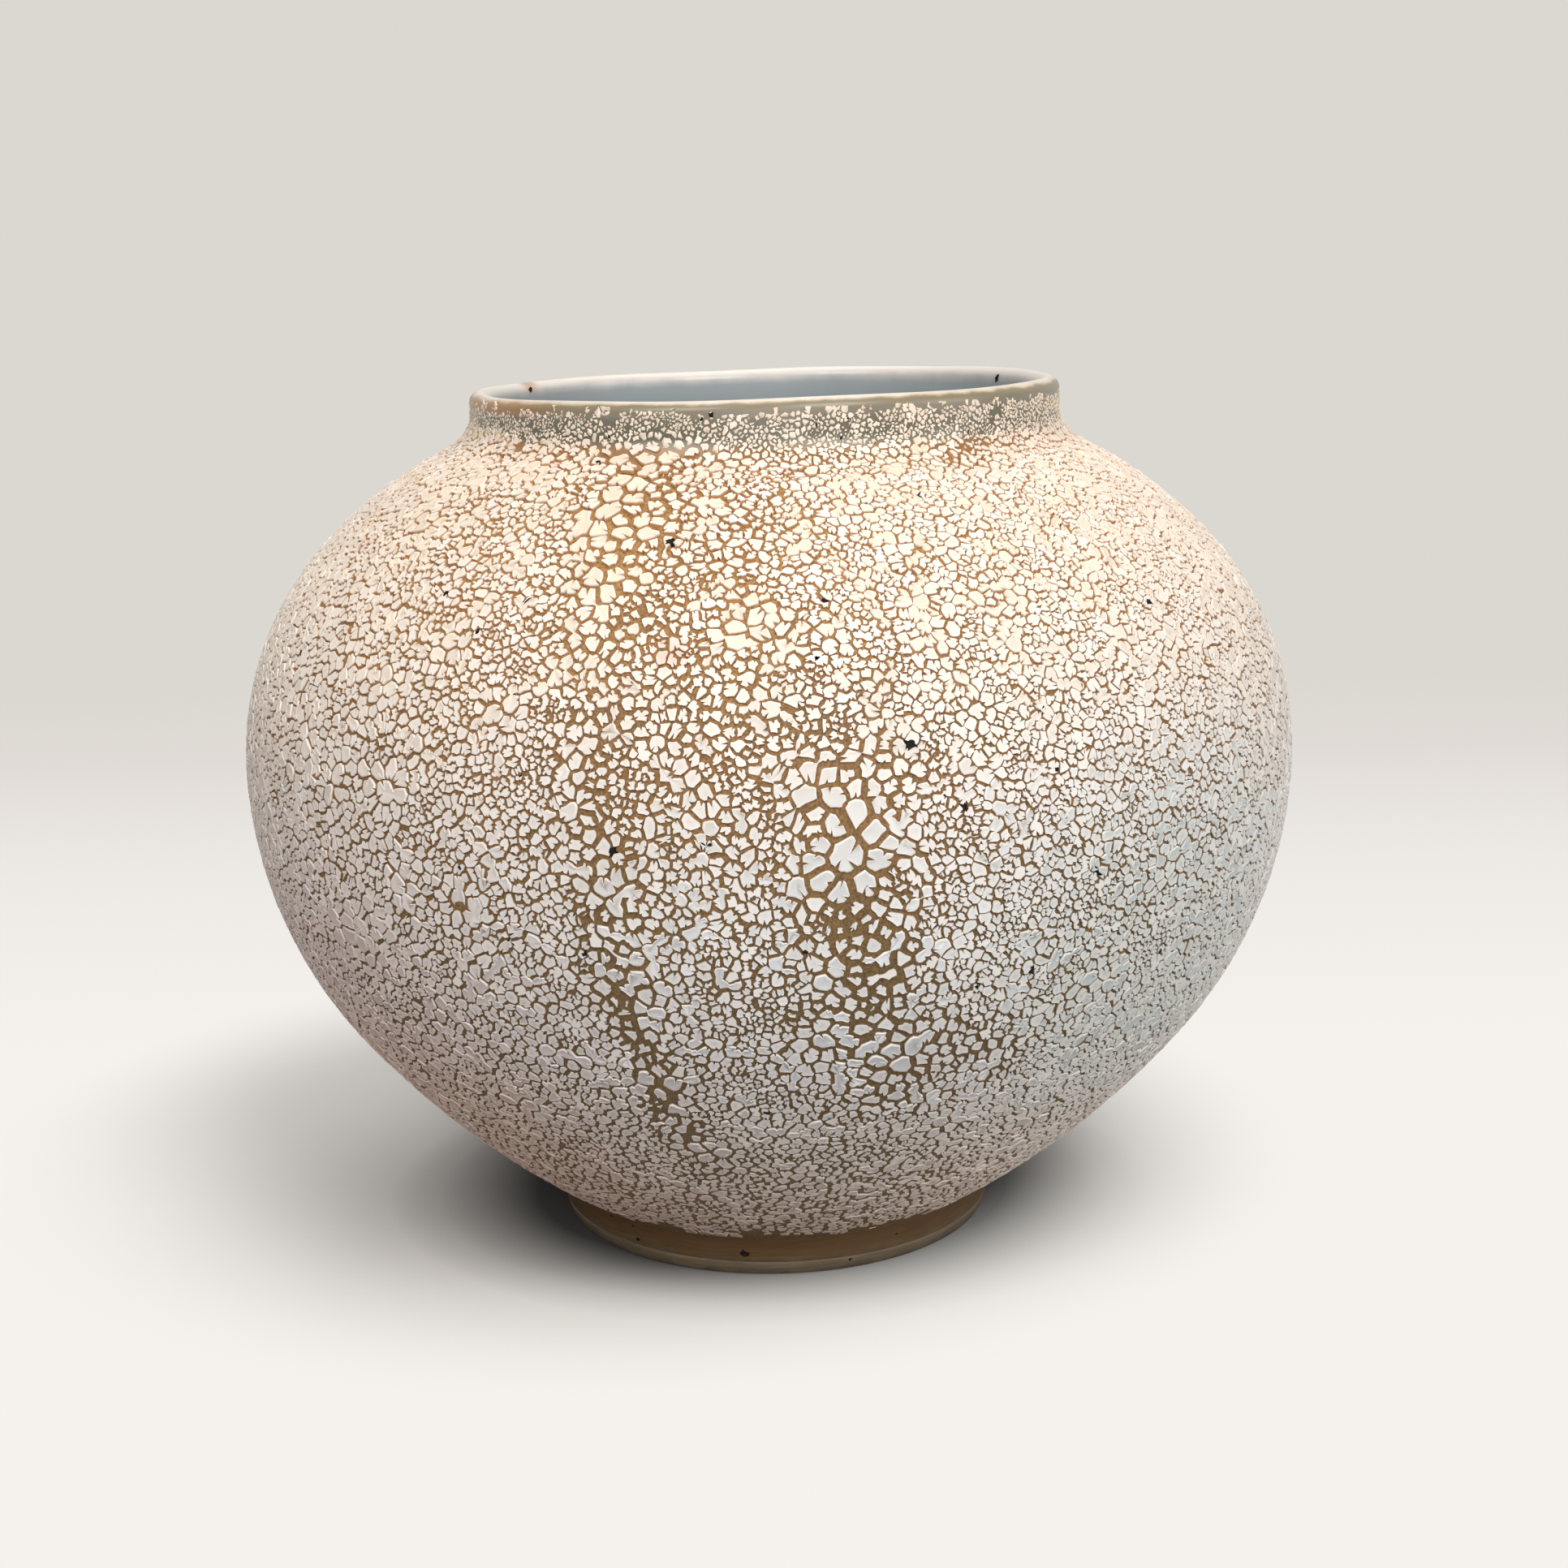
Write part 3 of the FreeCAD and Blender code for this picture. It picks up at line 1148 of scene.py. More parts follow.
@dataclass(frozen=True)
class CrawledWhite(Finish):
    """Thick matt magnesia glaze, fired dry.

    It is milky and even, a little whiter where an island's edge drew in, and it scatters light
    with hardly any gloss.
    """

    name: str = "crawled_white_glaze"
    # Pinker and darker towards the foot and peach towards the shoulder; the peach is partly the
    # glaze's own warmth and partly painted warm light from above.
    by_height: Stops = (
        (0.08, "#CCA389"), (0.19, "#E4C9B6"), (0.30, "#E8DBD0"), (0.42, "#E6E1DD"),
        (0.56, "#F6F2EC"), (0.72, "#F8EADA"), (0.93, "#F6DFC4"),
    )
    # Brown of the roots of the islands' sides, partly the slip's colour and partly painted shade in
    # the cracks.
    root_stain_and_shade: Stops = ((0.25, "#6E5230"), (0.55, "#8A6A40"), (0.75, "#B98C5A"), (0.93, "#CF9F69"))
    ruddy_haunch: Patch = Patch((-66, -52, 36), 62, 12, "#FFE2D2", blend_type="MULTIPLY")
    cool_side: Patch = Patch((73, -82, 84), 58, 14, "#D8DAD2")
    blush: Patch = Patch((-17, -100, 143.5), 6, 1, "#D9917A", 0.45)

    def dress(self, tree: NodeTree) -> Node:
        """Tint the glaze by its place, with painted warm light at the top and painted shade at the
        lower left, whiten the rims, and brown the roots with the slip's colour and painted shade.

        Args:
            tree: The material's empty tree.

        Returns:
            The node of the shader.
        """
        place = add_node(tree, "TexCoord").outputs["Object"]
        x, _, z = add_node(tree, "SeparateXYZ", {0: place}).outputs
        tone = add_node(tree, "Attribute", attribute_name="tone").outputs["Fac"]
        rim = add_node(tree, "Attribute", attribute_name="rim").outputs["Fac"]
        cloud = add_node(tree, "TexNoise", {"Vector": place, "Scale": per_mm(30), "Detail": 3.0})
        level = add_node(tree, "MapRange", {"Value": z, "From Max": 0.188})
        mixed = add_node(tree, "Math", {0: cloud, 1: 0.1, 2: level}, operation="MULTIPLY_ADD")
        base = add_node(tree, "ValToRGB", {"Fac": mixed}, stops=self.by_height)
        # The flame turned the lower left side pink, and the same darker pink tint is painted shade
        # on that side, which faces away from the light.
        leftness = add_node(tree, "MapRange", {"Value": x, "From Min": 0.0, "From Max": -0.105})
        lowness = add_node(tree, "MapRange", {"Value": z, "From Min": 0.135, "From Max": 0.08})
        flash_and_shade = add_node(tree, "Math", {0: leftness, 1: lowness}, operation="MULTIPLY")
        flashed_and_shaded = add_node(tree, "Mix", {"Factor": flash_and_shade, "A": base, "B": "#D6BCB4"}, **MULTIPLIED)
        warmed = self.ruddy_haunch.over(tree, place, flashed_and_shaded)
        cooled = self.cool_side.over(tree, place, warmed)
        # Below the shoulder and away from the flame the glaze is thick and bluish milky inside.
        inner = add_node(tree, "Math", {0: 1.0, 1: rim}, operation="SUBTRACT")
        thick = add_node(tree, "MapRange", {"Value": z, "From Min": 0.15, "From Max": 0.115})
        unflashed = add_node(tree, "Math", {0: 1.0, 1: leftness}, operation="SUBTRACT")
        pooled = add_node(tree, "Math", {0: unflashed, 1: thick}, operation="MULTIPLY")
        milk = add_node(tree, "Math", {0: inner, 1: pooled}, operation="MULTIPLY")
        milky = add_node(tree, "Mix", {"Factor": milk, "A": cooled, "B": "#ECF3FB"}, **MULTIPLIED)
        shade = add_node(tree, "MapRange", {"Value": tone, "To Min": 0.93, "To Max": 1.04})
        toned = add_node(tree, "Mix", {"Factor": 1.0, "A": milky, "B": shade}, **MULTIPLIED)
        edge = add_node(tree, "Math", {0: rim, 1: 0.7}, operation="MULTIPLY")
        rimmed = add_node(tree, "Mix", {"Factor": edge, "A": toned, "B": "#FBF5EE"}, **BLENDED)
        # The roots of the islands' sides take the slip's brown, which is also painted shade in the
        # narrow cracks.
        down = {"Value": rim, "From Min": -0.05, "From Max": -0.7, "To Max": 0.9}
        rooted = add_node(tree, "MapRange", down)
        root_colour_and_shade = add_node(tree, "ValToRGB", {"Fac": level}, stops=self.root_stain_and_shade)
        stained_and_shaded = add_node(tree, "Mix", {"Factor": rooted, "A": rimmed, "B": root_colour_and_shade}, **BLENDED)
        colour = self.blush.over(tree, place, stained_and_shaded)
        grain = add_node(tree, "TexNoise", {"Vector": place, "Scale": per_mm(0.8), "Detail": 4.0})
        bump = add_node(tree, "Bump", {"Strength": 0.25, "Distance": 0.08 * MM, "Height": grain})
        links = {"Base Color": colour, "Roughness": 0.62, "Normal": bump}
        return add_node(tree, "BsdfPrincipled", links)


@dataclass(frozen=True)
class IronSlip(Finish):
    """Thin iron-bearing slip under the white glaze, fluxed by it to a dry ochre."""

    name: str = "ochre_iron_slip"
    by_height: Stops = (
        (0.12, "#84612F"), (0.3, "#7C6440"), (0.6, "#8C7046"), (0.85, "#AC804C"), (1.0, "#C89455"),
    )
    grit: Stops = ((0.3, "#9A9A9A"), (0.7, "#FFFFFF"))

    def dress(self, tree: NodeTree) -> Node:
        """Run from orange ochre at the shoulder to olive brown at the foot, with a fine grit.

        Args:
            tree: The material's empty tree.

        Returns:
            The node of the shader.
        """
        place = add_node(tree, "TexCoord").outputs["Object"]
        z = add_node(tree, "SeparateXYZ", {0: place}).outputs["Z"]
        cloud = add_node(tree, "TexNoise", {"Vector": place, "Scale": per_mm(18), "Detail": 4.0})
        level = add_node(tree, "MapRange", {"Value": z, "From Max": 0.188})
        mixed = add_node(tree, "Math", {0: cloud, 1: 0.3, 2: level}, operation="MULTIPLY_ADD")
        base = add_node(tree, "ValToRGB", {"Fac": mixed}, stops=self.by_height)
        grain = add_node(tree, "TexNoise", {"Vector": place, "Scale": per_mm(0.5), "Detail": 5.0})
        speck = add_node(tree, "ValToRGB", {"Fac": grain}, stops=self.grit)
        colour = add_node(tree, "Mix", {"Factor": 1.0, "A": base, "B": speck}, **MULTIPLIED)
        bump = add_node(tree, "Bump", {"Strength": 0.5, "Distance": 0.1 * MM, "Height": grain})
        links = {"Base Color": colour, "Roughness": 0.7, "Normal": bump}
        return add_node(tree, "BsdfPrincipled", links)


@dataclass(frozen=True)
class AshBand(Finish):
    """Runny ash glaze on the collar: olive-grey glass, thin and pink-white over the lip."""

    name: str = "olive_ash_glaze"
    by_depth: Stops = (
        (0.06, "#9DA5A8"), (0.20, "#A9AFB0"), (0.29, "#E2D8CE"), (0.37, "#EDE3D8"),
        (0.41, "#DAC8B0"), (0.435, "#94866A"), (0.51, "#8B8476"), (0.55, "#757160"),
        (0.68, "#6B6757"), (0.715, "#7B7360"), (0.765, "#A07B4E"), (0.90, "#AC7C4C"),
    )
    under_lip: Stops = ((0.38, "#000000"), (0.44, "#C8C8C8"), (0.50, "#C8C8C8"), (0.55, "#000000"))
    rust_drip: Patch = Patch((-54.5, 27, 187), 5, 1, "#B98A5E", 0.75)

    def dress(self, tree: NodeTree) -> Node:
        """Colour it by how far it is below the crest of the lip, with rust under it at the left.

        Args:
            tree: The material's empty tree.

        Returns:
            The node of the shader.
        """
        place = add_node(tree, "TexCoord").outputs["Object"]
        x = add_node(tree, "SeparateXYZ", {0: place}).outputs["X"]
        down = add_node(tree, "Attribute", attribute_name="down").outputs["Fac"]
        cloud = add_node(tree, "TexNoise", {"Vector": place, "Scale": per_mm(5), "Detail": 5.0})
        mixed = add_node(tree, "Math", {0: cloud, 1: 2.0, 2: down}, operation="MULTIPLY_ADD")
        level = add_node(tree, "MapRange", {"Value": mixed, "From Min": -10.0, "From Max": 20.0})
        base = add_node(tree, "ValToRGB", {"Fac": level}, stops=self.by_depth)
        left = {"Value": x, "From Min": -38 * MM, "From Max": -52 * MM}
        leftness = add_node(tree, "MapRange", left)
        band = add_node(tree, "ValToRGB", {"Fac": level}, stops=self.under_lip)
        rust = add_node(tree, "Math", {0: leftness, 1: band}, operation="MULTIPLY")
        rusted = add_node(tree, "Mix", {"Factor": rust, "A": base, "B": "#B98147"}, **BLENDED)
        colour = self.rust_drip.over(tree, place, rusted)
        return add_node(tree, "BsdfPrincipled", {"Base Color": colour, "Roughness": 0.3})


@dataclass(frozen=True)
class FootClay(Finish):
    """Bare iron-rich stoneware, washed ochre above the trimming groove and sanded below it."""

    name: str = "bare_stoneware"
    # Darkest at the very bottom, where the darkening is painted shade at the foot's contact with
    # the table.
    by_height: Stops = (
        (0.13, "#4C4034"), (0.26, "#6D5E4B"), (0.42, "#78664E"), (0.58, "#6B502D"),
        (0.9, "#5E3F1D"),
    )

    def dress(self, tree: NodeTree) -> Node:
        """Wash the upper band ochre, streak both bands as the turning tool did, and darken the
        bottom edge with painted shade.

        Args:
            tree: The material's empty tree.

        Returns:
            The node of the shader.
        """
        place = add_node(tree, "TexCoord").outputs["Object"]
        z = add_node(tree, "SeparateXYZ", {0: place}).outputs["Z"]
        cloud = add_node(tree, "TexNoise", {"Vector": place, "Scale": per_mm(6), "Detail": 5.0})
        drawn = add_node(tree, "VectorMath", {0: place, 1: (1, 1, 14)}, operation="MULTIPLY")
        streak = add_node(tree, "TexNoise", {"Vector": drawn, "Scale": per_mm(9), "Detail": 4.0})
        mixed = add_node(tree, "Math", {0: cloud, 1: 4 * MM, 2: z}, operation="MULTIPLY_ADD")
        level = add_node(tree, "MapRange", {"Value": mixed, "From Max": 12 * MM})
        base = add_node(tree, "ValToRGB", {"Fac": level}, stops=self.by_height)
        span = {"From Min": 0.3, "From Max": 0.7, "To Min": 0.72, "To Max": 1.08}
        shade = add_node(tree, "MapRange", {"Value": streak, **span})
        colour = add_node(tree, "Mix", {"Factor": 1.0, "A": base, "B": shade}, **MULTIPLIED)
        grit = add_node(tree, "TexNoise", {"Vector": place, "Scale": per_mm(0.7), "Detail": 4.0})
        bump = add_node(tree, "Bump", {"Strength": 0.5, "Distance": 0.12 * MM, "Height": grit})
        links = {"Base Color": colour, "Roughness": 0.65, "Normal": bump}
        return add_node(tree, "BsdfPrincipled", links)


@dataclass(frozen=True)
class Mottled(Finish):
    """A finish whose colour wanders between a few tones, in one noise of a size and detail."""

    size: float
    detail: float
    tones: Stops
    roughness: float
    wander: float = 0.5
    specular: float = 0.5

    def dress(self, tree: NodeTree) -> Node:
        """Spread the tones by the noise.

        Args:
            tree: The material's empty tree.

        Returns:
            The node of the shader.
        """
        place = add_node(tree, "TexCoord").outputs["Object"]
        noisy = {"Scale": per_mm(self.size), "Detail": self.detail, "Roughness": self.wander}
        cloud = add_node(tree, "TexNoise", {"Vector": place, **noisy})
        base = add_node(tree, "ValToRGB", {"Fac": cloud}, stops=self.tones)
        gloss = {"Roughness": self.roughness, "Specular IOR Level": self.specular}
        return add_node(tree, "BsdfPrincipled", {"Base Color": base, **gloss})


@dataclass(frozen=True)
class Liner(Mottled):
    """Smooth celadon-grey liner glaze, glassy and slightly mottled."""

    name: str = "grey_liner_glaze"
    size: float = 4
    detail: float = 6.0
    tones: Stops = ((0.35, "#AFB6BA"), (0.65, "#E0E2E1"))
    roughness: float = 0.25
    wander: float = 0.75


@dataclass(frozen=True)
class BurntIron(Mottled):
    """Specks of iron in the clay that melted through the glaze, nearly black with a rusty skin."""

    name: str = "burnt_iron"
    size: float = 0.9
    detail: float = 3.0
    tones: Stops = ((0.35, "#0C0A09"), (0.6, "#1C1411"), (0.8, "#4A3023"))
    roughness: float = 0.7
    specular: float = 0.2


@dataclass(frozen=True)
class LutingSlip(Mottled):
    """Fired slip that welds two pieces of clay, grainier than the clay that it joins."""

    name: str = "fired_luting_slip"
    size: float = 1.2
    detail: float = 5.0
    tones: Stops = ((0.35, "#7A6042"), (0.65, "#A08663"))
    roughness: float = 0.8


@dataclass(frozen=True)
class PaperSweep(Finish):
    """Matt backdrop paper, off-white at the front and greyer where it curves up.

    Round the jar it takes the light and the shadow, and a painted shadow darkens it close round the
    foot. Further out it shows the paper's own colour, so the background stays even without more
    light.
    """

    name: str = "paper_sweep"
    by_depth: Stops = ((0.0, "#F5F2ED"), (0.35, "#EDE9E4"), (0.7, "#E0DBD6"), (1.0, "#DBD8D1"))
    # Painted shadow round the foot: darkest at the foot and gone further out.
    contact_shadow: Stops = (
        (0.12, "#5E5E5E"), (0.36, "#A1A1A1"), (0.55, "#C5C5C5"), (0.68, "#DDDDDD"),
        (0.95, "#F7F7F7"),
    )

    def _away(self, tree: NodeTree, middle: Triple, stretch: Triple) -> Node:
        """Add how far a place of the floor is from a middle, stretched to an oval.

        Args:
            tree: The material's tree.
            middle: The oval's middle in metres.
            stretch: How many times the distance counts along each axis.

        Returns:
            The node of the distance.
        """
        place = add_node(tree, "TexCoord").outputs["Object"]
        offset = add_node(tree, "VectorMath", {0: place, 1: middle}, operation="SUBTRACT")
        oval = add_node(tree, "VectorMath", {0: offset, 1: stretch}, operation="MULTIPLY")
        return add_node(tree, "VectorMath", {0: oval}, operation="LENGTH")

    def dress(self, tree: NodeTree) -> Node:
        """Paint a shadow round the foot over the lit paper near the jar, and keep it dull for light
        that bounces off it.

        Args:
            tree: The material's empty tree.

        Returns:
            The node of the shader.
        """
        place = add_node(tree, "TexCoord").outputs["Object"]
        y = add_node(tree, "SeparateXYZ", {0: place}).outputs["Y"]
        level = add_node(tree, "MapRange", {"Value": y, "From Min": 0.1, "From Max": 0.66})
        paper = add_node(tree, "ValToRGB", {"Fac": level}, stops=self.by_depth)
        away = self._away(tree, (-0.035, 0.04, 0), (1 / 0.12, 1 / 0.105, 0))
        span = {"Value": away, "From Min": 0.75, "From Max": 1.4}
        clear = add_node(tree, "MapRange", span, interpolation_type="SMOOTHSTEP")
        # A painted contact shadow darkens the lit paper close round the foot.
        reach = self._away(tree, (-0.001, 0.005, 0), (1, 1.15, 0))
        contact = add_node(tree, "MapRange", {"Value": reach, "From Min": 0.05, "From Max": 0.092})
        contact_shadow = add_node(tree, "ValToRGB", {"Fac": contact}, stops=self.contact_shadow)
        shadowed_paper = add_node(tree, "Mix", {"Factor": 1.0, "A": paper, "B": contact_shadow}, **MULTIPLIED)
        lit = add_node(tree, "BsdfDiffuse", {"Color": shadowed_paper})
        even = add_node(tree, "Emission", {"Color": paper})
        seen = add_node(tree, "MixShader", {0: clear, 1: lit, 2: even})
        rays = add_node(tree, "LightPath").outputs
        direct = {0: rays["Is Camera Ray"], 1: rays["Is Glossy Ray"]}
        glimpse = add_node(tree, "Math", direct, operation="MAXIMUM")
        through = {0: glimpse, 1: rays["Is Transmission Ray"]}
        any_view = add_node(tree, "Math", through, operation="MAXIMUM")
        dull = add_node(tree, "BsdfDiffuse", {"Color": "#8A8580"})
        return add_node(tree, "MixShader", {0: any_view, 1: dull, 2: seen})


# Pieces


def finish_piece(
    mesh: Mesh, name: str, materials: Iterable[Material], replaced: Iterable[str] = (),
    sharp_above: float = 40,
) -> None:
    """Turn a bmesh into a finished piece that rides on the jar.

    Args:
        mesh: The shape in millimetres, which is freed.
        name: The piece's name.
        materials: One for each material number of its faces.
        replaced: The clay model's nodes that it stands for.
        sharp_above: Edges that turn by more degrees than this stay sharp.
    """
    for face in mesh.faces:
        face.smooth = True
    limit = math.radians(sharp_above)
    for edge in mesh.edges:
        if edge.is_manifold and edge.calc_face_angle() > limit:
            edge.smooth = False
    bmesh.ops.scale(mesh, vec=(MM, MM, MM), verts=mesh.verts)
    data = bpy.data.meshes.new(name)
    mesh.to_mesh(data)
    mesh.free()
    for material in materials:
        data.materials.append(material)
    piece = bpy.data.objects.new(name, data)
    bpy.context.scene.collection.objects.link(piece)
    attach(piece, BODY)
    if replaced:
        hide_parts(*replaced)
    log.info("%s: %d faces", name, len(data.polygons))


def lathe(loop: Array, steps: int) -> Mesh:
    """Turn a half section about the jar's axis.

    Args:
        loop: Its points as radius and height. It closes on itself, or ends at the axis.
        steps: How many steps the turn takes.

    Returns:
        A closed mesh whose faces point outwards.
    """
    mesh = bmesh.new()
    verts = [mesh.verts.new((0, -radius, height)) for radius, height in loop.tolist()]
    edges = [mesh.edges.new(pair) for pair in zip(verts, verts[1:])]
    if loop[0, 0] > 0:
        edges.append(mesh.edges.new((verts[-1], verts[0])))
    bmesh.ops.spin(
        mesh, geom=verts + edges, cent=(0, 0, 0), axis=(0, 0, 1), angle=TURN, steps=steps,
        use_merge=True, use_duplicate=False,
    )
    bmesh.ops.remove_doubles(mesh, verts=mesh.verts, dist=1e-4)
    bmesh.ops.recalc_face_normals(mesh, faces=mesh.faces)
    return mesh


@dataclass
class Clay:
    """The thrown clay under the glazes: two bowls, the collar and the foot, each a closed shell."""

    outline: Outline
    slip: Material
    liner: Material
    band: Material
    bare: Material
    slip_depth: float = 0.55
    low_slip_depth: float = 0.32
    low_slip_zone: Place = (12, 60)
    liner_rise: float = 0.05
    wash: float = 0.06
    joint_rise: float = 0.3
    step: float = 4.0
    collar_step: float = 0.7
    lip_steps: int = 14
    turn_steps: int = 240
    collar_steps: int = 360

    def __post_init__(self) -> None:
        """Work out the depth of the liner's face, of the wall's middle, and the joint's height."""
        self.inner_depth = self.outline.glaze_thickness + self.outline.wall - self.liner_rise
        self.middle = (self.slip_depth + self.inner_depth) / 2
        self.joint_height = self.outline.belly_height + self.joint_rise

    def build(self) -> None:
        """Make the four pieces."""
        self.lower_bowl()
        self.upper_bowl()
        self.collar()
        self.foot()

    def _make_bowl(self, loop: Array, node: str, inside: Callable[[Vector], bool]) -> None:
        """Turn a bowl and give the liner to the faces whose middle is inside.

        Args:
            loop: Its half section.
            node: The clay model's node that it stands for.
            inside: Tells whether a point is on the liner's side.
        """
        mesh = lathe(loop, self.turn_steps)
        for face in mesh.faces:
            face.material_index = int(inside(face.calc_center_median()))
        finish_piece(mesh, node + "_clay", [self.slip, self.liner], (node,))

    def _is_inside(self, at: Vector) -> bool:
        """Tell whether a point of the wall is nearer to its inside.

        Args:
            at: The point.

        Returns:
            Whether it is.
        """
        o = self.outline
        radius = math.hypot(at.x, at.y)
        for bend in (o.upper_bends if at.z > o.belly_height else o.lower_bends):
            arm = np.array([radius, at.z]) - bend.centre
            low, high = sorted((bend.start_facing, bend.end_facing))
            if low <= math.atan2(arm[1], arm[0]) <= high:
                return math.hypot(*arm) < bend.radius - self.middle
        return radius < o.glaze_line_radius - self.middle

    def lower_bowl(self) -> None:
        """Make the lower bowl from the table side of its base to the joint at the belly."""
        o = self.outline
        haunch, skirt = o.lower_bends
        parts = zip(haunch.sample(self.step), skirt.sample(self.step))
        face, facing = (np.concatenate(part) for part in parts)
        slip_depths = (self.low_slip_depth, self.slip_depth)
        sunk = np.interp(face[:, 1], self.low_slip_zone, slip_depths)[:, None]
        outer = (face - headings(facing) * sunk)[::-1]
        inner = haunch.sample(self.step, self.inner_depth)[0]
        edge = np.array([o.floor_radius, o.floor_height + self.liner_rise])
        bowl = bend_from(inner[-1], haunch.end_facing, edge).sample(self.step)[0]
        under = o.recess_height - self.wash
        seat = o.recess_height - self.joint_rise
        ring = o.foot_radius - o.foot_width / 2
        loop = np.concatenate([
            [[0, under], [ring, under], [ring, seat], [o.foot_side(seat) + self.wash, seat]],
            outer,
            [[o.belly_radius - self.slip_depth, self.joint_height]],
            [[o.belly_radius - self.inner_depth, self.joint_height]],
            inner,
            bowl[1:],
            [[0, edge[1]]],
        ])
        base = o.recess_height + 1
        self._make_bowl(loop, "lower_bowl", lambda at: at.z > base and self._is_inside(at))

    def upper_bowl(self) -> None:
        """Make the upper bowl from the joint at the belly to the root of the collar."""
        outer, inner = (
            np.concatenate([bend.sample(self.step, depth)[0] for bend in self.outline.upper_bends])
            for depth in (self.slip_depth, self.inner_depth)
        )
        outer[0, 1] = inner[0, 1] = self.joint_height
        self._make_bowl(np.concatenate([outer, inner[::-1]]), "upper_bowl", self._is_inside)

    def collar(self) -> None:
        """Make the collar with its ash glaze and its lip, pulled a little out of true."""
        o = self.outline
        step = self.collar_step
        fillet, facing = o.neck(0, o.collar_radius).sample(step)
        rise = smooth_step(0, 0.75, np.linspace(0, 1, len(fillet)))[:, None]
        fillet = fillet - headings(facing) * (self.slip_depth * (1 - rise))
        upright = np.arange(fillet[-1, 1] + step, o.lip_spring, step)
        outer = np.stack([np.full(len(upright), o.collar_radius), upright], axis=1)
        half = o.lip_thickness / 2
        lip = headings(np.linspace(0, math.pi, self.lip_steps + 1)) * half
        lip += [o.collar_radius - half, o.lip_spring]
        mouth = o.mouth_radius - self.liner_rise
        inner_fillet = o.neck(self.inner_depth, mouth).sample(step)[0][::-1]
        inner_upright = np.arange(o.lip_spring - step, inner_fillet[0, 1], -step)
        inner = np.stack([np.full(len(inner_upright), mouth), inner_upright], axis=1)
        loop = np.concatenate([fillet, outer, lip, inner, inner_fillet])
        crest = len(fillet) + len(outer) + self.lip_steps // 2
        length = np.r_[0, np.cumsum(np.hypot(*np.diff(loop, axis=0).T))]
        down = length[crest] - length
        mesh = lathe(loop, self.collar_steps)
        layer = mesh.verts.layers.float.new("down")
        tree = kdtree.KDTree(len(loop))
        for number, (radius, height) in enumerate(loop.tolist()):
            tree.insert((radius, height, 0), number)
        tree.balance()
        for vert in mesh.verts:
            radius = math.hypot(vert.co.x, vert.co.y)
            vert[layer] = down[tree.find((radius, vert.co.z, 0))[1]]
            azimuth = math.atan2(vert.co.x, -vert.co.y)
            lift = float(smooth_step(o.collar_root_height + 1, o.jar_height, vert.co.z))
            # The lip dips at the left, with two finer waves round it.
            sag = -1.0 + 0.95 * math.sin(azimuth)
            sag += 0.12 * math.sin(3 * azimuth + 1) + 0.1 * math.sin(7 * azimuth)
            vert.co.z += lift * min(0, sag)
            squeeze = 1 - 0.0025 * lift * (1 + math.sin(2 * azimuth + 0.6)) / 2
            vert.co.x *= squeeze
            vert.co.y *= squeeze
        nodes = ("collar", "collar_ash_glaze")
        finish_piece(mesh, "collar_and_lip", [self.band], nodes)

    def foot(self) -> None:
        """Make the trimmed foot ring with its groove and chamfered edges."""
        o = self.outline
        w = self.wash
        seat = o.recess_height - self.joint_rise
        inner = o.foot_radius - o.foot_width
        ledge = inner - o.foot_draft - w
        outer_flat, inner_flat = o.foot_radius - o.foot_chamfer, inner + o.foot_chamfer
        groove = []
        for share in np.linspace(-1, 1, 7):
            height = o.groove_height + o.groove_width / 2 * share
            depth = o.groove_depth * math.cos(share * math.pi / 2) ** 2
            groove.append([o.foot_side(height) + w - depth, height])
        loop = np.array([
            [outer_flat - 1, 0],
            [outer_flat, 0.03],
            [o.foot_radius - o.foot_chamfer * 0.35 + w, 0.25],
            [o.foot_radius + w, o.foot_chamfer],
            [o.foot_side(1.6) + w, 1.6],
            *groove,
            *([o.foot_side(height) + w, height] for height in (5, 7, seat)),
            [ledge, seat + 0.3],
            [ledge, seat],
            [inner - w, o.foot_chamfer],
            [inner_flat, 0.03],
            [inner_flat + 1, 0],
        ])
        mesh = lathe(loop, self.turn_steps)
        finish_piece(mesh, "trimmed_foot", [self.bare], ("foot_ring",))


@dataclass(frozen=True)
class Ring:
    """One ring of an island: how far it is drawn in, how deep it lies, and how much it is a rim;
    below zero, how much it is browned as a root with painted shade.
    """

    inset: float
    depth: float
    rim: float


class Stature(Enum):
    """The kinds of island, by size and place, each with its rings from the root to the top."""

    PLATE = (Ring(0, 0.86, -3), Ring(0.04, 0.2, 1), Ring(0.15, 0.06, 0.9), Ring(0.5, 0.14, 0.05))
    CHIP = (Ring(0, 0.86, -3), Ring(0.06, 0.08, 0.85))
    SPECK = (Ring(0, 0.18, -0.3), Ring(0.1, -0.08, 0.5))


@dataclass(frozen=True)
class Standing:
    """An island placed on the jar: its rings, its shade, and its crown if it has one cell."""

    stature: Stature
    rings: list[list[list[float]]]
    tone: float
    crown: list[float] | None


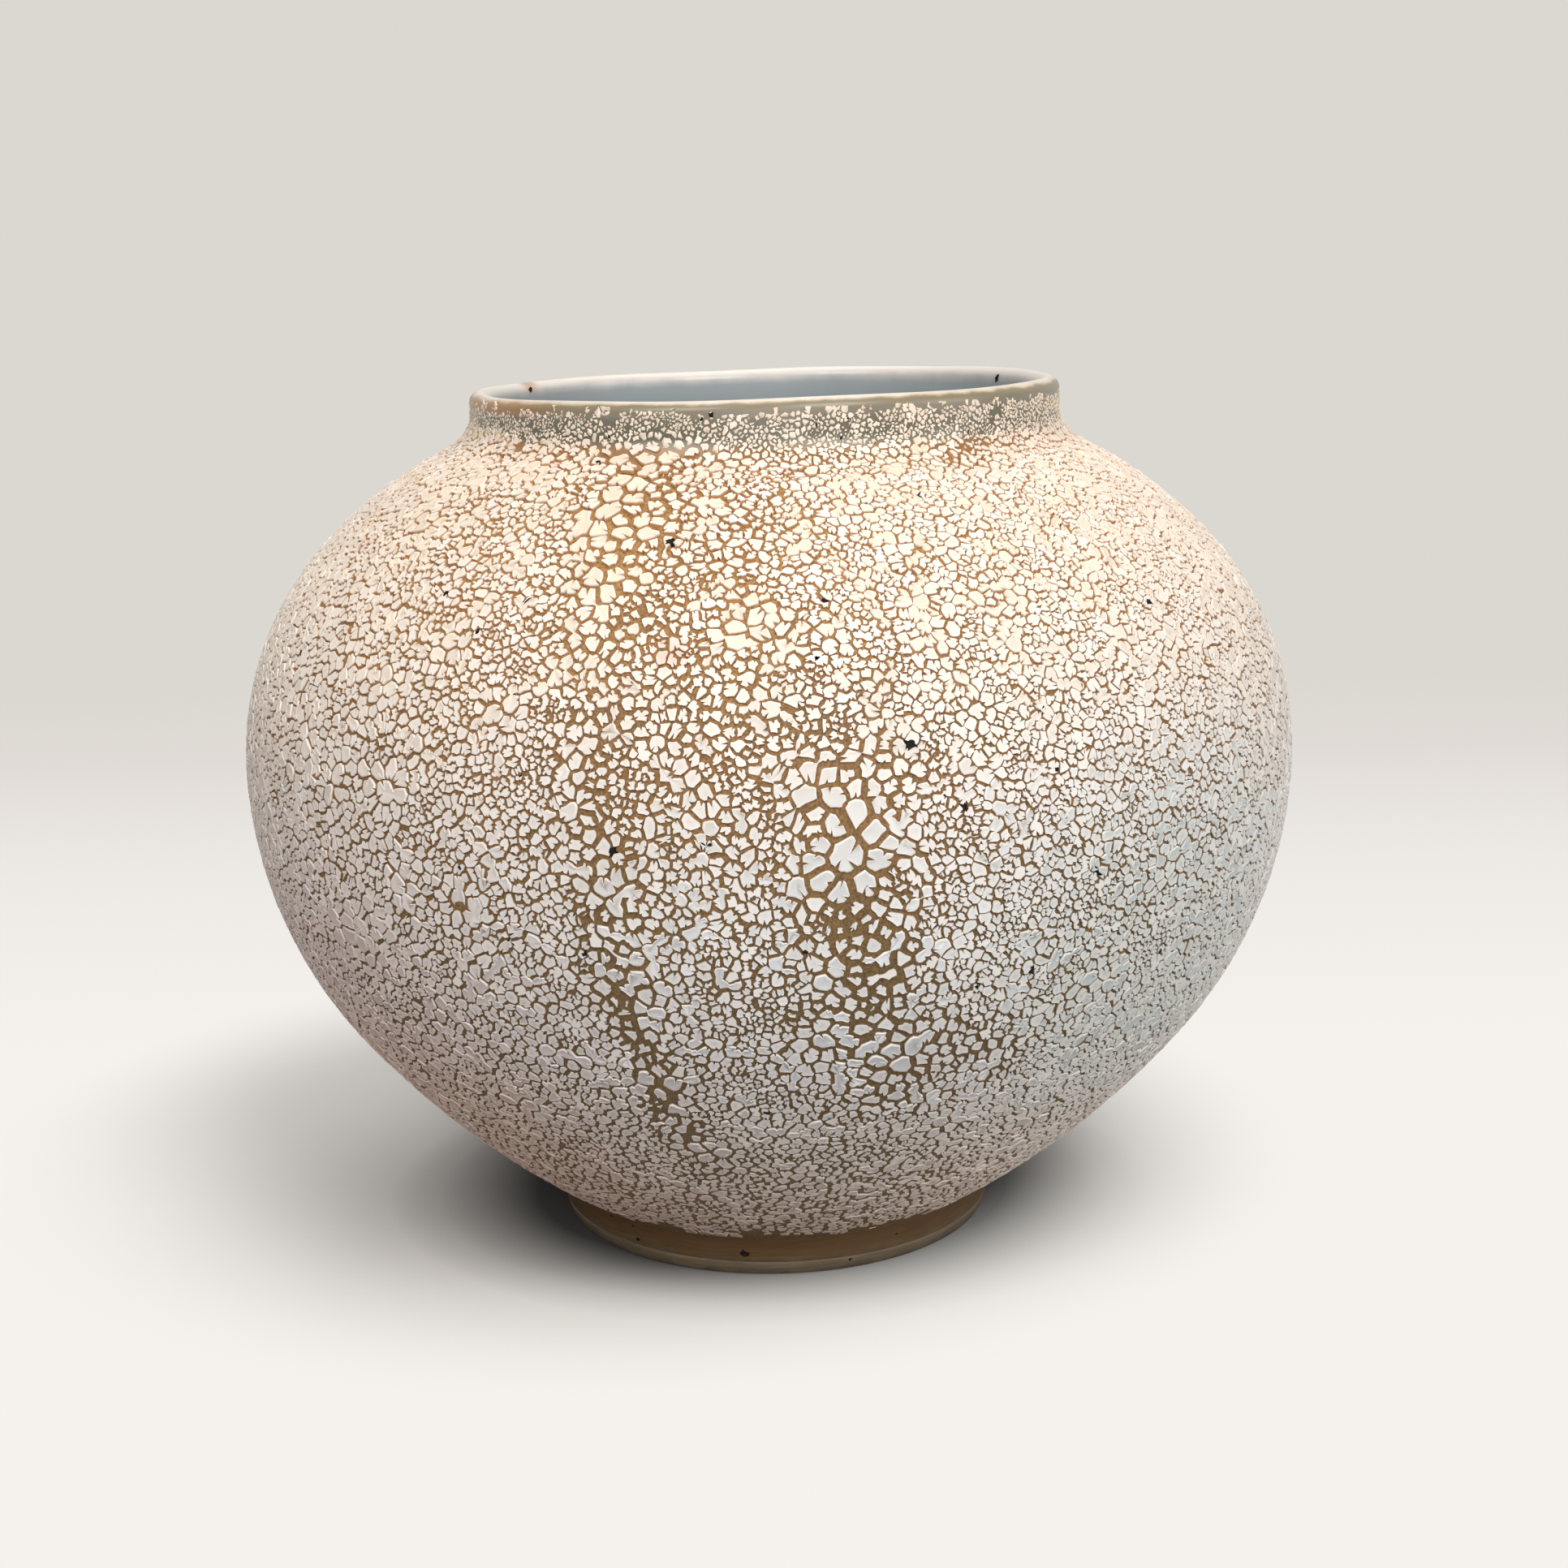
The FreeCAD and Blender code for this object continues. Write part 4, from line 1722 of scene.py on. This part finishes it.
@dataclass
class GlazeCoat:
    """The white glaze, as thousands of islands in sectors round the jar."""

    pattern: CrackPattern
    glaze: Material
    most_triangles: int = 185000
    plate_area: float = 7.5
    smallest: float = 0.1
    speck_height: float = 178.4
    furthest_in: float = 0.42
    crown_depth: float = 0.13
    uneven_depth: float = 0.08
    sway: float = 0.24
    fray: float = 0.08
    tilt: float = 0.04
    curl: float = 0.5
    root_curl: float = 0.4

    def build(self) -> None:
        """Draw the islands in from the root up, then raise them sector by sector."""
        sector: list[Standing] = []
        triangles = 0
        number = 1
        for island in self._standing():
            size = len(island.rings[0]) * 2 * len(island.stature.value) + 2
            if triangles + size > self.most_triangles:
                self._raise(sector, number)
                sector, triangles, number = [], 0, number + 1
            sector.append(island)
            triangles += size
        self._raise(sector, number)

    def _standing(self) -> list[Standing]:
        """Place the rings of every island on the jar, in order round it.

        Returns:
            The islands, without those that are too small.
        """
        surface = self.pattern.surface
        crawl = self.pattern.crawl
        islands = self.pattern.islands
        random = np.random.default_rng(SEED + 1)
        counts = np.array([len(island.outline) for island in islands])
        starts = np.r_[0, np.cumsum(counts)]
        owner = np.repeat(np.arange(len(islands)), counts)
        flat = np.array([place for island in islands for place in island.outline])
        places, pull = flat[:, :2], flat[:, 2:]
        first = places[starts[:-1]][owner]
        places[:, 0] -= np.round((places[:, 0] - first[:, 0]) / TURN) * TURN
        radius = surface.radius(places[:, 1])[:, None]
        places = self._swayed(places, random)
        middle = np.stack([np.bincount(owner, places[:, i]) for i in (0, 1)], axis=1)
        middle = middle / counts[:, None]
        after = np.arange(1, len(flat) + 1)
        after[starts[1:] - 1] = starts[:-1]
        arm = places - middle[owner]
        area = np.bincount(owner, arm[:, 0] * arm[after, 1] - arm[after, 0] * arm[:, 1]) / 2
        area *= surface.radius(middle[:, 1]) ** 2
        height = surface.height(middle[:, 1])
        tilt = random.normal(0, self.tilt, (len(islands), 2))
        slope = (arm * radius * tilt[owner]).sum(axis=1)
        sink = random.random(len(islands)) * self.uneven_depth
        # Islands curl up where they are large on the shoulder, and all round under the collar.
        gap = crawl.read(crawl.gap, *middle.T)
        high = smooth_step(150, self.speck_height, height)
        rising = high * smooth_step(0.36, 0.6, gap) * self.curl
        rising = np.maximum(rising, smooth_step(172.5, 177, height) * self.root_curl)
        highest = np.interp(height, (146, 158), (0.02, -0.6))
        reach = np.hypot(pull[:, 0], pull[:, 1])[:, None] * radius
        tone = random.random(len(islands))
        stature = np.full(len(islands), Stature.CHIP)
        stature[area > self.plate_area] = Stature.PLATE
        stature[height > self.speck_height] = Stature.SPECK
        tops = np.array([self.pattern.cells[island.start].middle for island in islands])
        tops = self._swayed(tops, random)
        crowns = surface.place(*tops.T, np.maximum(self.crown_depth + sink - rising, highest))
        standing: list[Standing | None] = [None] * len(islands)
        for kind in Stature:
            rings = []
            for level, ring in enumerate(kind.value):
                inward = np.minimum(ring.inset / np.maximum(reach, 1e-6), self.furthest_in)
                drawn = places + pull * inward
                depth = ring.depth + (sink - rising * (kind is not Stature.SPECK))[owner]
                if level:
                    depth = np.maximum(depth + slope, highest[owner])
                rings.append(surface.place(drawn[:, 0], np.maximum(drawn[:, 1], 0), depth))
            for index in np.flatnonzero(stature == kind):
                part = slice(starts[index], starts[index + 1])
                crowned = len(islands[index].cells) == 1 and kind is not Stature.SPECK
                standing[index] = Standing(
                    kind, [ring[part].tolist() for ring in rings], tone[index],
                    crowns[index].tolist() if crowned else None,
                )
        order = np.argsort(middle[:, 0] % TURN)
        return [standing[index] for index in order if area[index] > self.smallest]

    def _swayed(self, places: Array, random: np.random.Generator) -> Array:
        """Shift places of the map a little, close ones together, and fray them.

        Args:
            places: One row of across and along for each.
            random: Where the draws come from.

        Returns:
            The places, shifted.
        """
        surface = self.pattern.surface
        on_jar = surface.place(places[:, 0], places[:, 1], 0)
        shift = drift(on_jar, 2.1)[:, :2] * self.sway + drift(on_jar, 0.7)[:, :2] * self.sway / 3
        shift += random.normal(0, self.fray, shift.shape)
        return places + shift / surface.radius(places[:, 1])[:, None]

    def _raise(self, islands: list[Standing], number: int) -> None:
        """Raise one sector's islands from their outlines.

        Each starts as its outline and is extruded, and inset again where it has more rings. The
        operators lay out the rings, and then every ring is put in its place.

        Args:
            islands: The sector's islands.
            number: The sector's number.
        """
        mesh = bmesh.new()
        rim = mesh.verts.layers.float.new("rim")
        tone = mesh.verts.layers.float.new("tone")
        own = mesh.faces.layers.int.new("island")
        for index, island in enumerate(islands):
            face = mesh.faces.new([mesh.verts.new(place) for place in island.rings[0]])
            face[own] = index
            for vert in face.verts:
                vert[tone] = island.tone
                vert[rim] = island.stature.value[0].rim
        roots = mesh.faces[:]
        raised = bmesh.ops.extrude_face_region(mesh, geom=roots, use_keep_orig=True)["geom"]
        tops = [item for item in raised if isinstance(item, bmesh.types.BMFace)]
        bmesh.ops.reverse_faces(mesh, faces=roots)
        level = 1
        crowned = []
        while tops:
            for face in tops:
                island = islands[face[own]]
                if island.crown and len(island.rings) == level + 1:
                    crowned.append(face)
                for vert, place in zip(face.verts, island.rings[level]):
                    vert.co = place
                    vert[rim] = island.stature.value[level].rim
            level += 1
            tops = [face for face in tops if len(islands[face[own]].rings) > level]
            if tops:
                bmesh.ops.inset_individual(mesh, faces=tops, thickness=0.001, depth=0)
        for vert in bmesh.ops.poke(mesh, faces=crowned)["verts"]:
            island = islands[vert.link_faces[0][own]]
            vert.co = island.crown
            vert[tone] = island.tone
            vert[rim] = 0
        name = f"crawled_islands_{number}"
        finish_piece(mesh, name, [self.glaze], ("crawl_glaze_coat",), 70)


@dataclass
class IronSpots:
    """Ragged dark specks on the glaze, the lip and the foot, each as azimuth, height and size."""

    outline: Outline
    surface: Surface
    iron: Material
    on_jar: tuple[Triple, ...] = (
        (13.0, 128.7, 2.7), (-11.8, 162.7, 2.0), (6.0, 153.0, 1.6), (46.3, 148.0, 1.8),
        (-38.4, 152.6, 1.3), (-31.6, 146.8, 1.3), (-28.6, 175.0, 1.3), (25.4, 83.7, 1.7),
        (42.4, 81.4, 1.4), (19.7, 82.0, 1.1), (-14.3, 110.5, 1.8), (27.4, 122.0, 1.1),
        (17.7, 117.0, 1.9), (2.9, 92.0, 1.2), (-17.6, 90.5, 1.1), (-0.9, 56.0, 1.4),
        (-30.0, 105.0, 1.0), (-60.0, 138.0, 1.2), (-9.3, 184.2, 1.7), (-10.9, 183.5, 0.9),
    )
    on_foot: tuple[Triple, ...] = (
        (-8.0, 5.5, 2.1), (-38.0, 4.6, 1.6), (-38.5, 8.0, 1.0), (-46.0, 8.6, 1.0),
        (18.6, 2.4, 1.0), (31.0, 6.6, 0.8), (95.0, 5.0, 1.5), (160.0, 6.8, 1.2),
        (-120.0, 4.2, 1.8),
    )
    in_lip: tuple[Triple, ...] = ((116.0, 185.6, 1.8), (-115.5, 184.6, 1.2))
    hidden: int = 24
    segments: int = 14
    thickness: float = 0.5

    def build(self) -> None:
        """Lay every speck, with more strewn over the sides that the photograph hides."""
        random = np.random.default_rng(SEED + 2)
        mesh = bmesh.new()
        ranges = ((70, 290), (25, 170), (0.9, 2.0))
        strewn = zip(*(random.uniform(*span, self.hidden) for span in ranges))
        for azimuth, height, size in (*self.on_jar, *strewn):
            along = self.surface.along_at(height)
            facing = float(np.interp(along, self.surface.along, self.surface.facing))
            depth = -0.12 if height > 180 else 0.03 - smooth_step(150, 178.4, height) * 0.5
            place = self.surface.place(math.radians(azimuth), along, depth)
            self._lay(mesh, Vector(place), azimuth, facing, size, random)
        for azimuth, height, size in self.on_foot:
            place = self._at(azimuth, self.outline.foot_side(height) + 0.12, height)
            self._lay(mesh, place, azimuth, -0.3, size, random)
        for azimuth, height, size in self.in_lip:
            place = self._at(azimuth, self.outline.mouth_radius - 0.3, height)
            self._lay(mesh, place, azimuth, math.pi, size, random)
        finish_piece(mesh, "iron_spots", [self.iron])

    @staticmethod
    def _at(azimuth: float, radius: float, height: float) -> Vector:
        """Return the point at this azimuth in degrees."""
        turn = math.radians(azimuth)
        return Vector((radius * math.sin(turn), -radius * math.cos(turn), height))

    def _lay(
        self, mesh: Mesh, place: Vector, azimuth: float, facing: float, size: float,
        random: np.random.Generator,
    ) -> None:
        """Make one ragged flake and lay it on the surface.

        Args:
            mesh: Where it goes.
            place: The middle of its top.
            azimuth: Where that is round the jar, in degrees.
            facing: How the surface faces there, from the horizontal up.
            size: Its mean width.
            random: Where the draws come from.
        """
        made = bmesh.ops.create_circle(
            mesh, cap_ends=True, segments=self.segments, radius=size / 2
        )["verts"]
        for vert in made:
            vert.co *= 0.5 + 0.85 * random.random() ** 2
            vert.co.z = -self.thickness
        root = made[0].link_faces[0]
        raised = bmesh.ops.extrude_face_region(mesh, geom=[root], use_keep_orig=True)["geom"]
        top = [item for item in raised if isinstance(item, bmesh.types.BMVert)]
        bmesh.ops.scale(mesh, vec=(0.85, 0.85, 0), verts=top)
        bmesh.ops.reverse_faces(mesh, faces=[root])
        out = self._at(azimuth, math.cos(facing), math.sin(facing))
        across = self._at(azimuth + 90, 1, 0)
        turn = Matrix((across, out.cross(across), out)).transposed().to_4x4()
        bmesh.ops.transform(mesh, matrix=Matrix.Translation(place) @ turn, verts=made + top)


# The studio


@dataclass
class Studio:
    """A pale sweep, soft light from above and the camera of the photograph."""

    image_width: int = 1932
    focal_pixels: float = 2908.3
    sensor: float = 36.0
    camera_place: Triple = (0, -520, 214.86)
    pitch: float = math.radians(12.744)
    yaw: float = math.radians(0.34)
    roll: float = math.radians(-0.8)
    # Square soft lights: place and size in metres, and watts.
    lamps: tuple[tuple[str, Triple, float, float], ...] = (
        ("overhead", (0, -0.1, 1.5), 1.2, 5.9),
        ("overhead_back", (0, 0.6, 1.4), 0.8, 4.4),
        ("front_right", (0.7, -1.4, 1.2), 0.8, 16.0),
        ("front_left", (-0.9, -1.2, 1.4), 0.8, 13.8),
        ("front_low", (0, -1.8, 0.45), 1.0, 7.0),
        ("right", (1.6, -0.5, 0.6), 0.8, 5.8),
    )

    def build(self) -> None:
        """Set the camera, the sweep and the lights."""
        self._camera()
        self._sweep()
        self._lights()

    def _camera(self) -> None:
        """Stand the camera where the photograph was taken from."""
        ahead = math.cos(self.pitch)
        across, away = math.sin(self.yaw), math.cos(self.yaw)
        forward = Vector((across * ahead, away * ahead, -math.sin(self.pitch)))
        level = Vector((away, -across, 0))
        upright = level.cross(forward)
        right = level * math.cos(self.roll) + upright * math.sin(self.roll)
        up = upright * math.cos(self.roll) - level * math.sin(self.roll)
        data = bpy.data.cameras.new("camera")
        data.sensor_width = self.sensor
        data.lens = self.focal_pixels * self.sensor / self.image_width
        data.clip_start = 0.01
        camera = bpy.data.objects.new("camera", data)
        turn = Matrix((right, up, -forward)).transposed().to_4x4()
        camera.matrix_world = Matrix.Translation(Vector(self.camera_place) * MM) @ turn
        bpy.context.scene.collection.objects.link(camera)
        bpy.context.scene.camera = camera

    def _sweep(self) -> None:
        """Lay the floor, a hair under the foot, and curve it up into the backdrop, in metres."""
        mesh = bmesh.new()
        front, back, top, bend, side, below = -3.0, 1.6, 3.0, 0.8, 4.0, 0.0001
        profile = [(front, 0.0)]
        for t in np.linspace(0, math.pi / 2, 13):
            profile.append((back - bend + bend * math.sin(t), bend - bend * math.cos(t)))
        profile.append((back, top))
        verts = [mesh.verts.new((-side, y, z - below)) for y, z in profile]
        edges = [mesh.edges.new(pair) for pair in zip(verts, verts[1:])]
        moved = bmesh.ops.extrude_edge_only(mesh, edges=edges)["geom"]
        far = [item for item in moved if isinstance(item, bmesh.types.BMVert)]
        bmesh.ops.translate(mesh, vec=(2 * side, 0, 0), verts=far)
        bmesh.ops.recalc_face_normals(mesh, faces=mesh.faces)
        for face in mesh.faces:
            face.smooth = True
        data = bpy.data.meshes.new("sweep")
        mesh.to_mesh(data)
        mesh.free()
        data.materials.append(PaperSweep().material())
        sweep = bpy.data.objects.new("sweep", data)
        bpy.context.scene.collection.objects.link(sweep)

    def _lights(self) -> None:
        """Turn every lamp to the jar and let the room fill the rest."""
        world = bpy.data.worlds.new("room")
        world.use_nodes = True
        world.node_tree.nodes.clear()
        fill = add_node(world.node_tree, "Background", {"Color": "#EEEEF0", "Strength": 0.06})
        add_node(world.node_tree, "OutputWorld", {"Surface": fill})
        bpy.context.scene.world = world
        for name, place, size, watts in self.lamps:
            data = bpy.data.lights.new(name, "AREA")
            data.size = size
            data.energy = watts
            lamp = bpy.data.objects.new(name, data)
            lamp.location = place
            aim = Vector((0, 0, 0.1)) - Vector(place)
            lamp.rotation_euler = aim.to_track_quat("-Z", "Y").to_euler()
            bpy.context.scene.collection.objects.link(lamp)


def main() -> None:
    """Build the jar, piece by piece, and its studio."""
    logging.basicConfig(level=logging.INFO, format="%(relativeCreated)6d %(name)s %(message)s")
    outline = Outline.from_frame()
    log.info("outline: %s", outline)
    surface = Surface(outline)
    slip, band, bare = (finish.material() for finish in (IronSlip(), AshBand(), FootClay()))
    liner = Liner().material()
    Clay(outline, slip, liner, band, bare).build()
    pattern = CrackPattern(Crawl(surface))
    log.info("%d cells, %d islands", len(pattern.cells), len(pattern.islands))
    GlazeCoat(pattern, CrawledWhite().material()).build()
    IronSpots(outline, surface, BurntIron().material()).build()
    # The liner glaze runs over the seams inside, so bare slip is left only at the foot.
    seams = {"foot_lute": LutingSlip().material(), "belly_lute": liner, "collar_lute": liner}
    for name, material in seams.items():
        for slot in frame["nodes"][name].material_slots:
            slot.material = material
    Studio().build()
    bpy.context.scene.view_settings.view_transform = "Standard"
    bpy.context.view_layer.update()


if __name__ == "__main__":
    main()
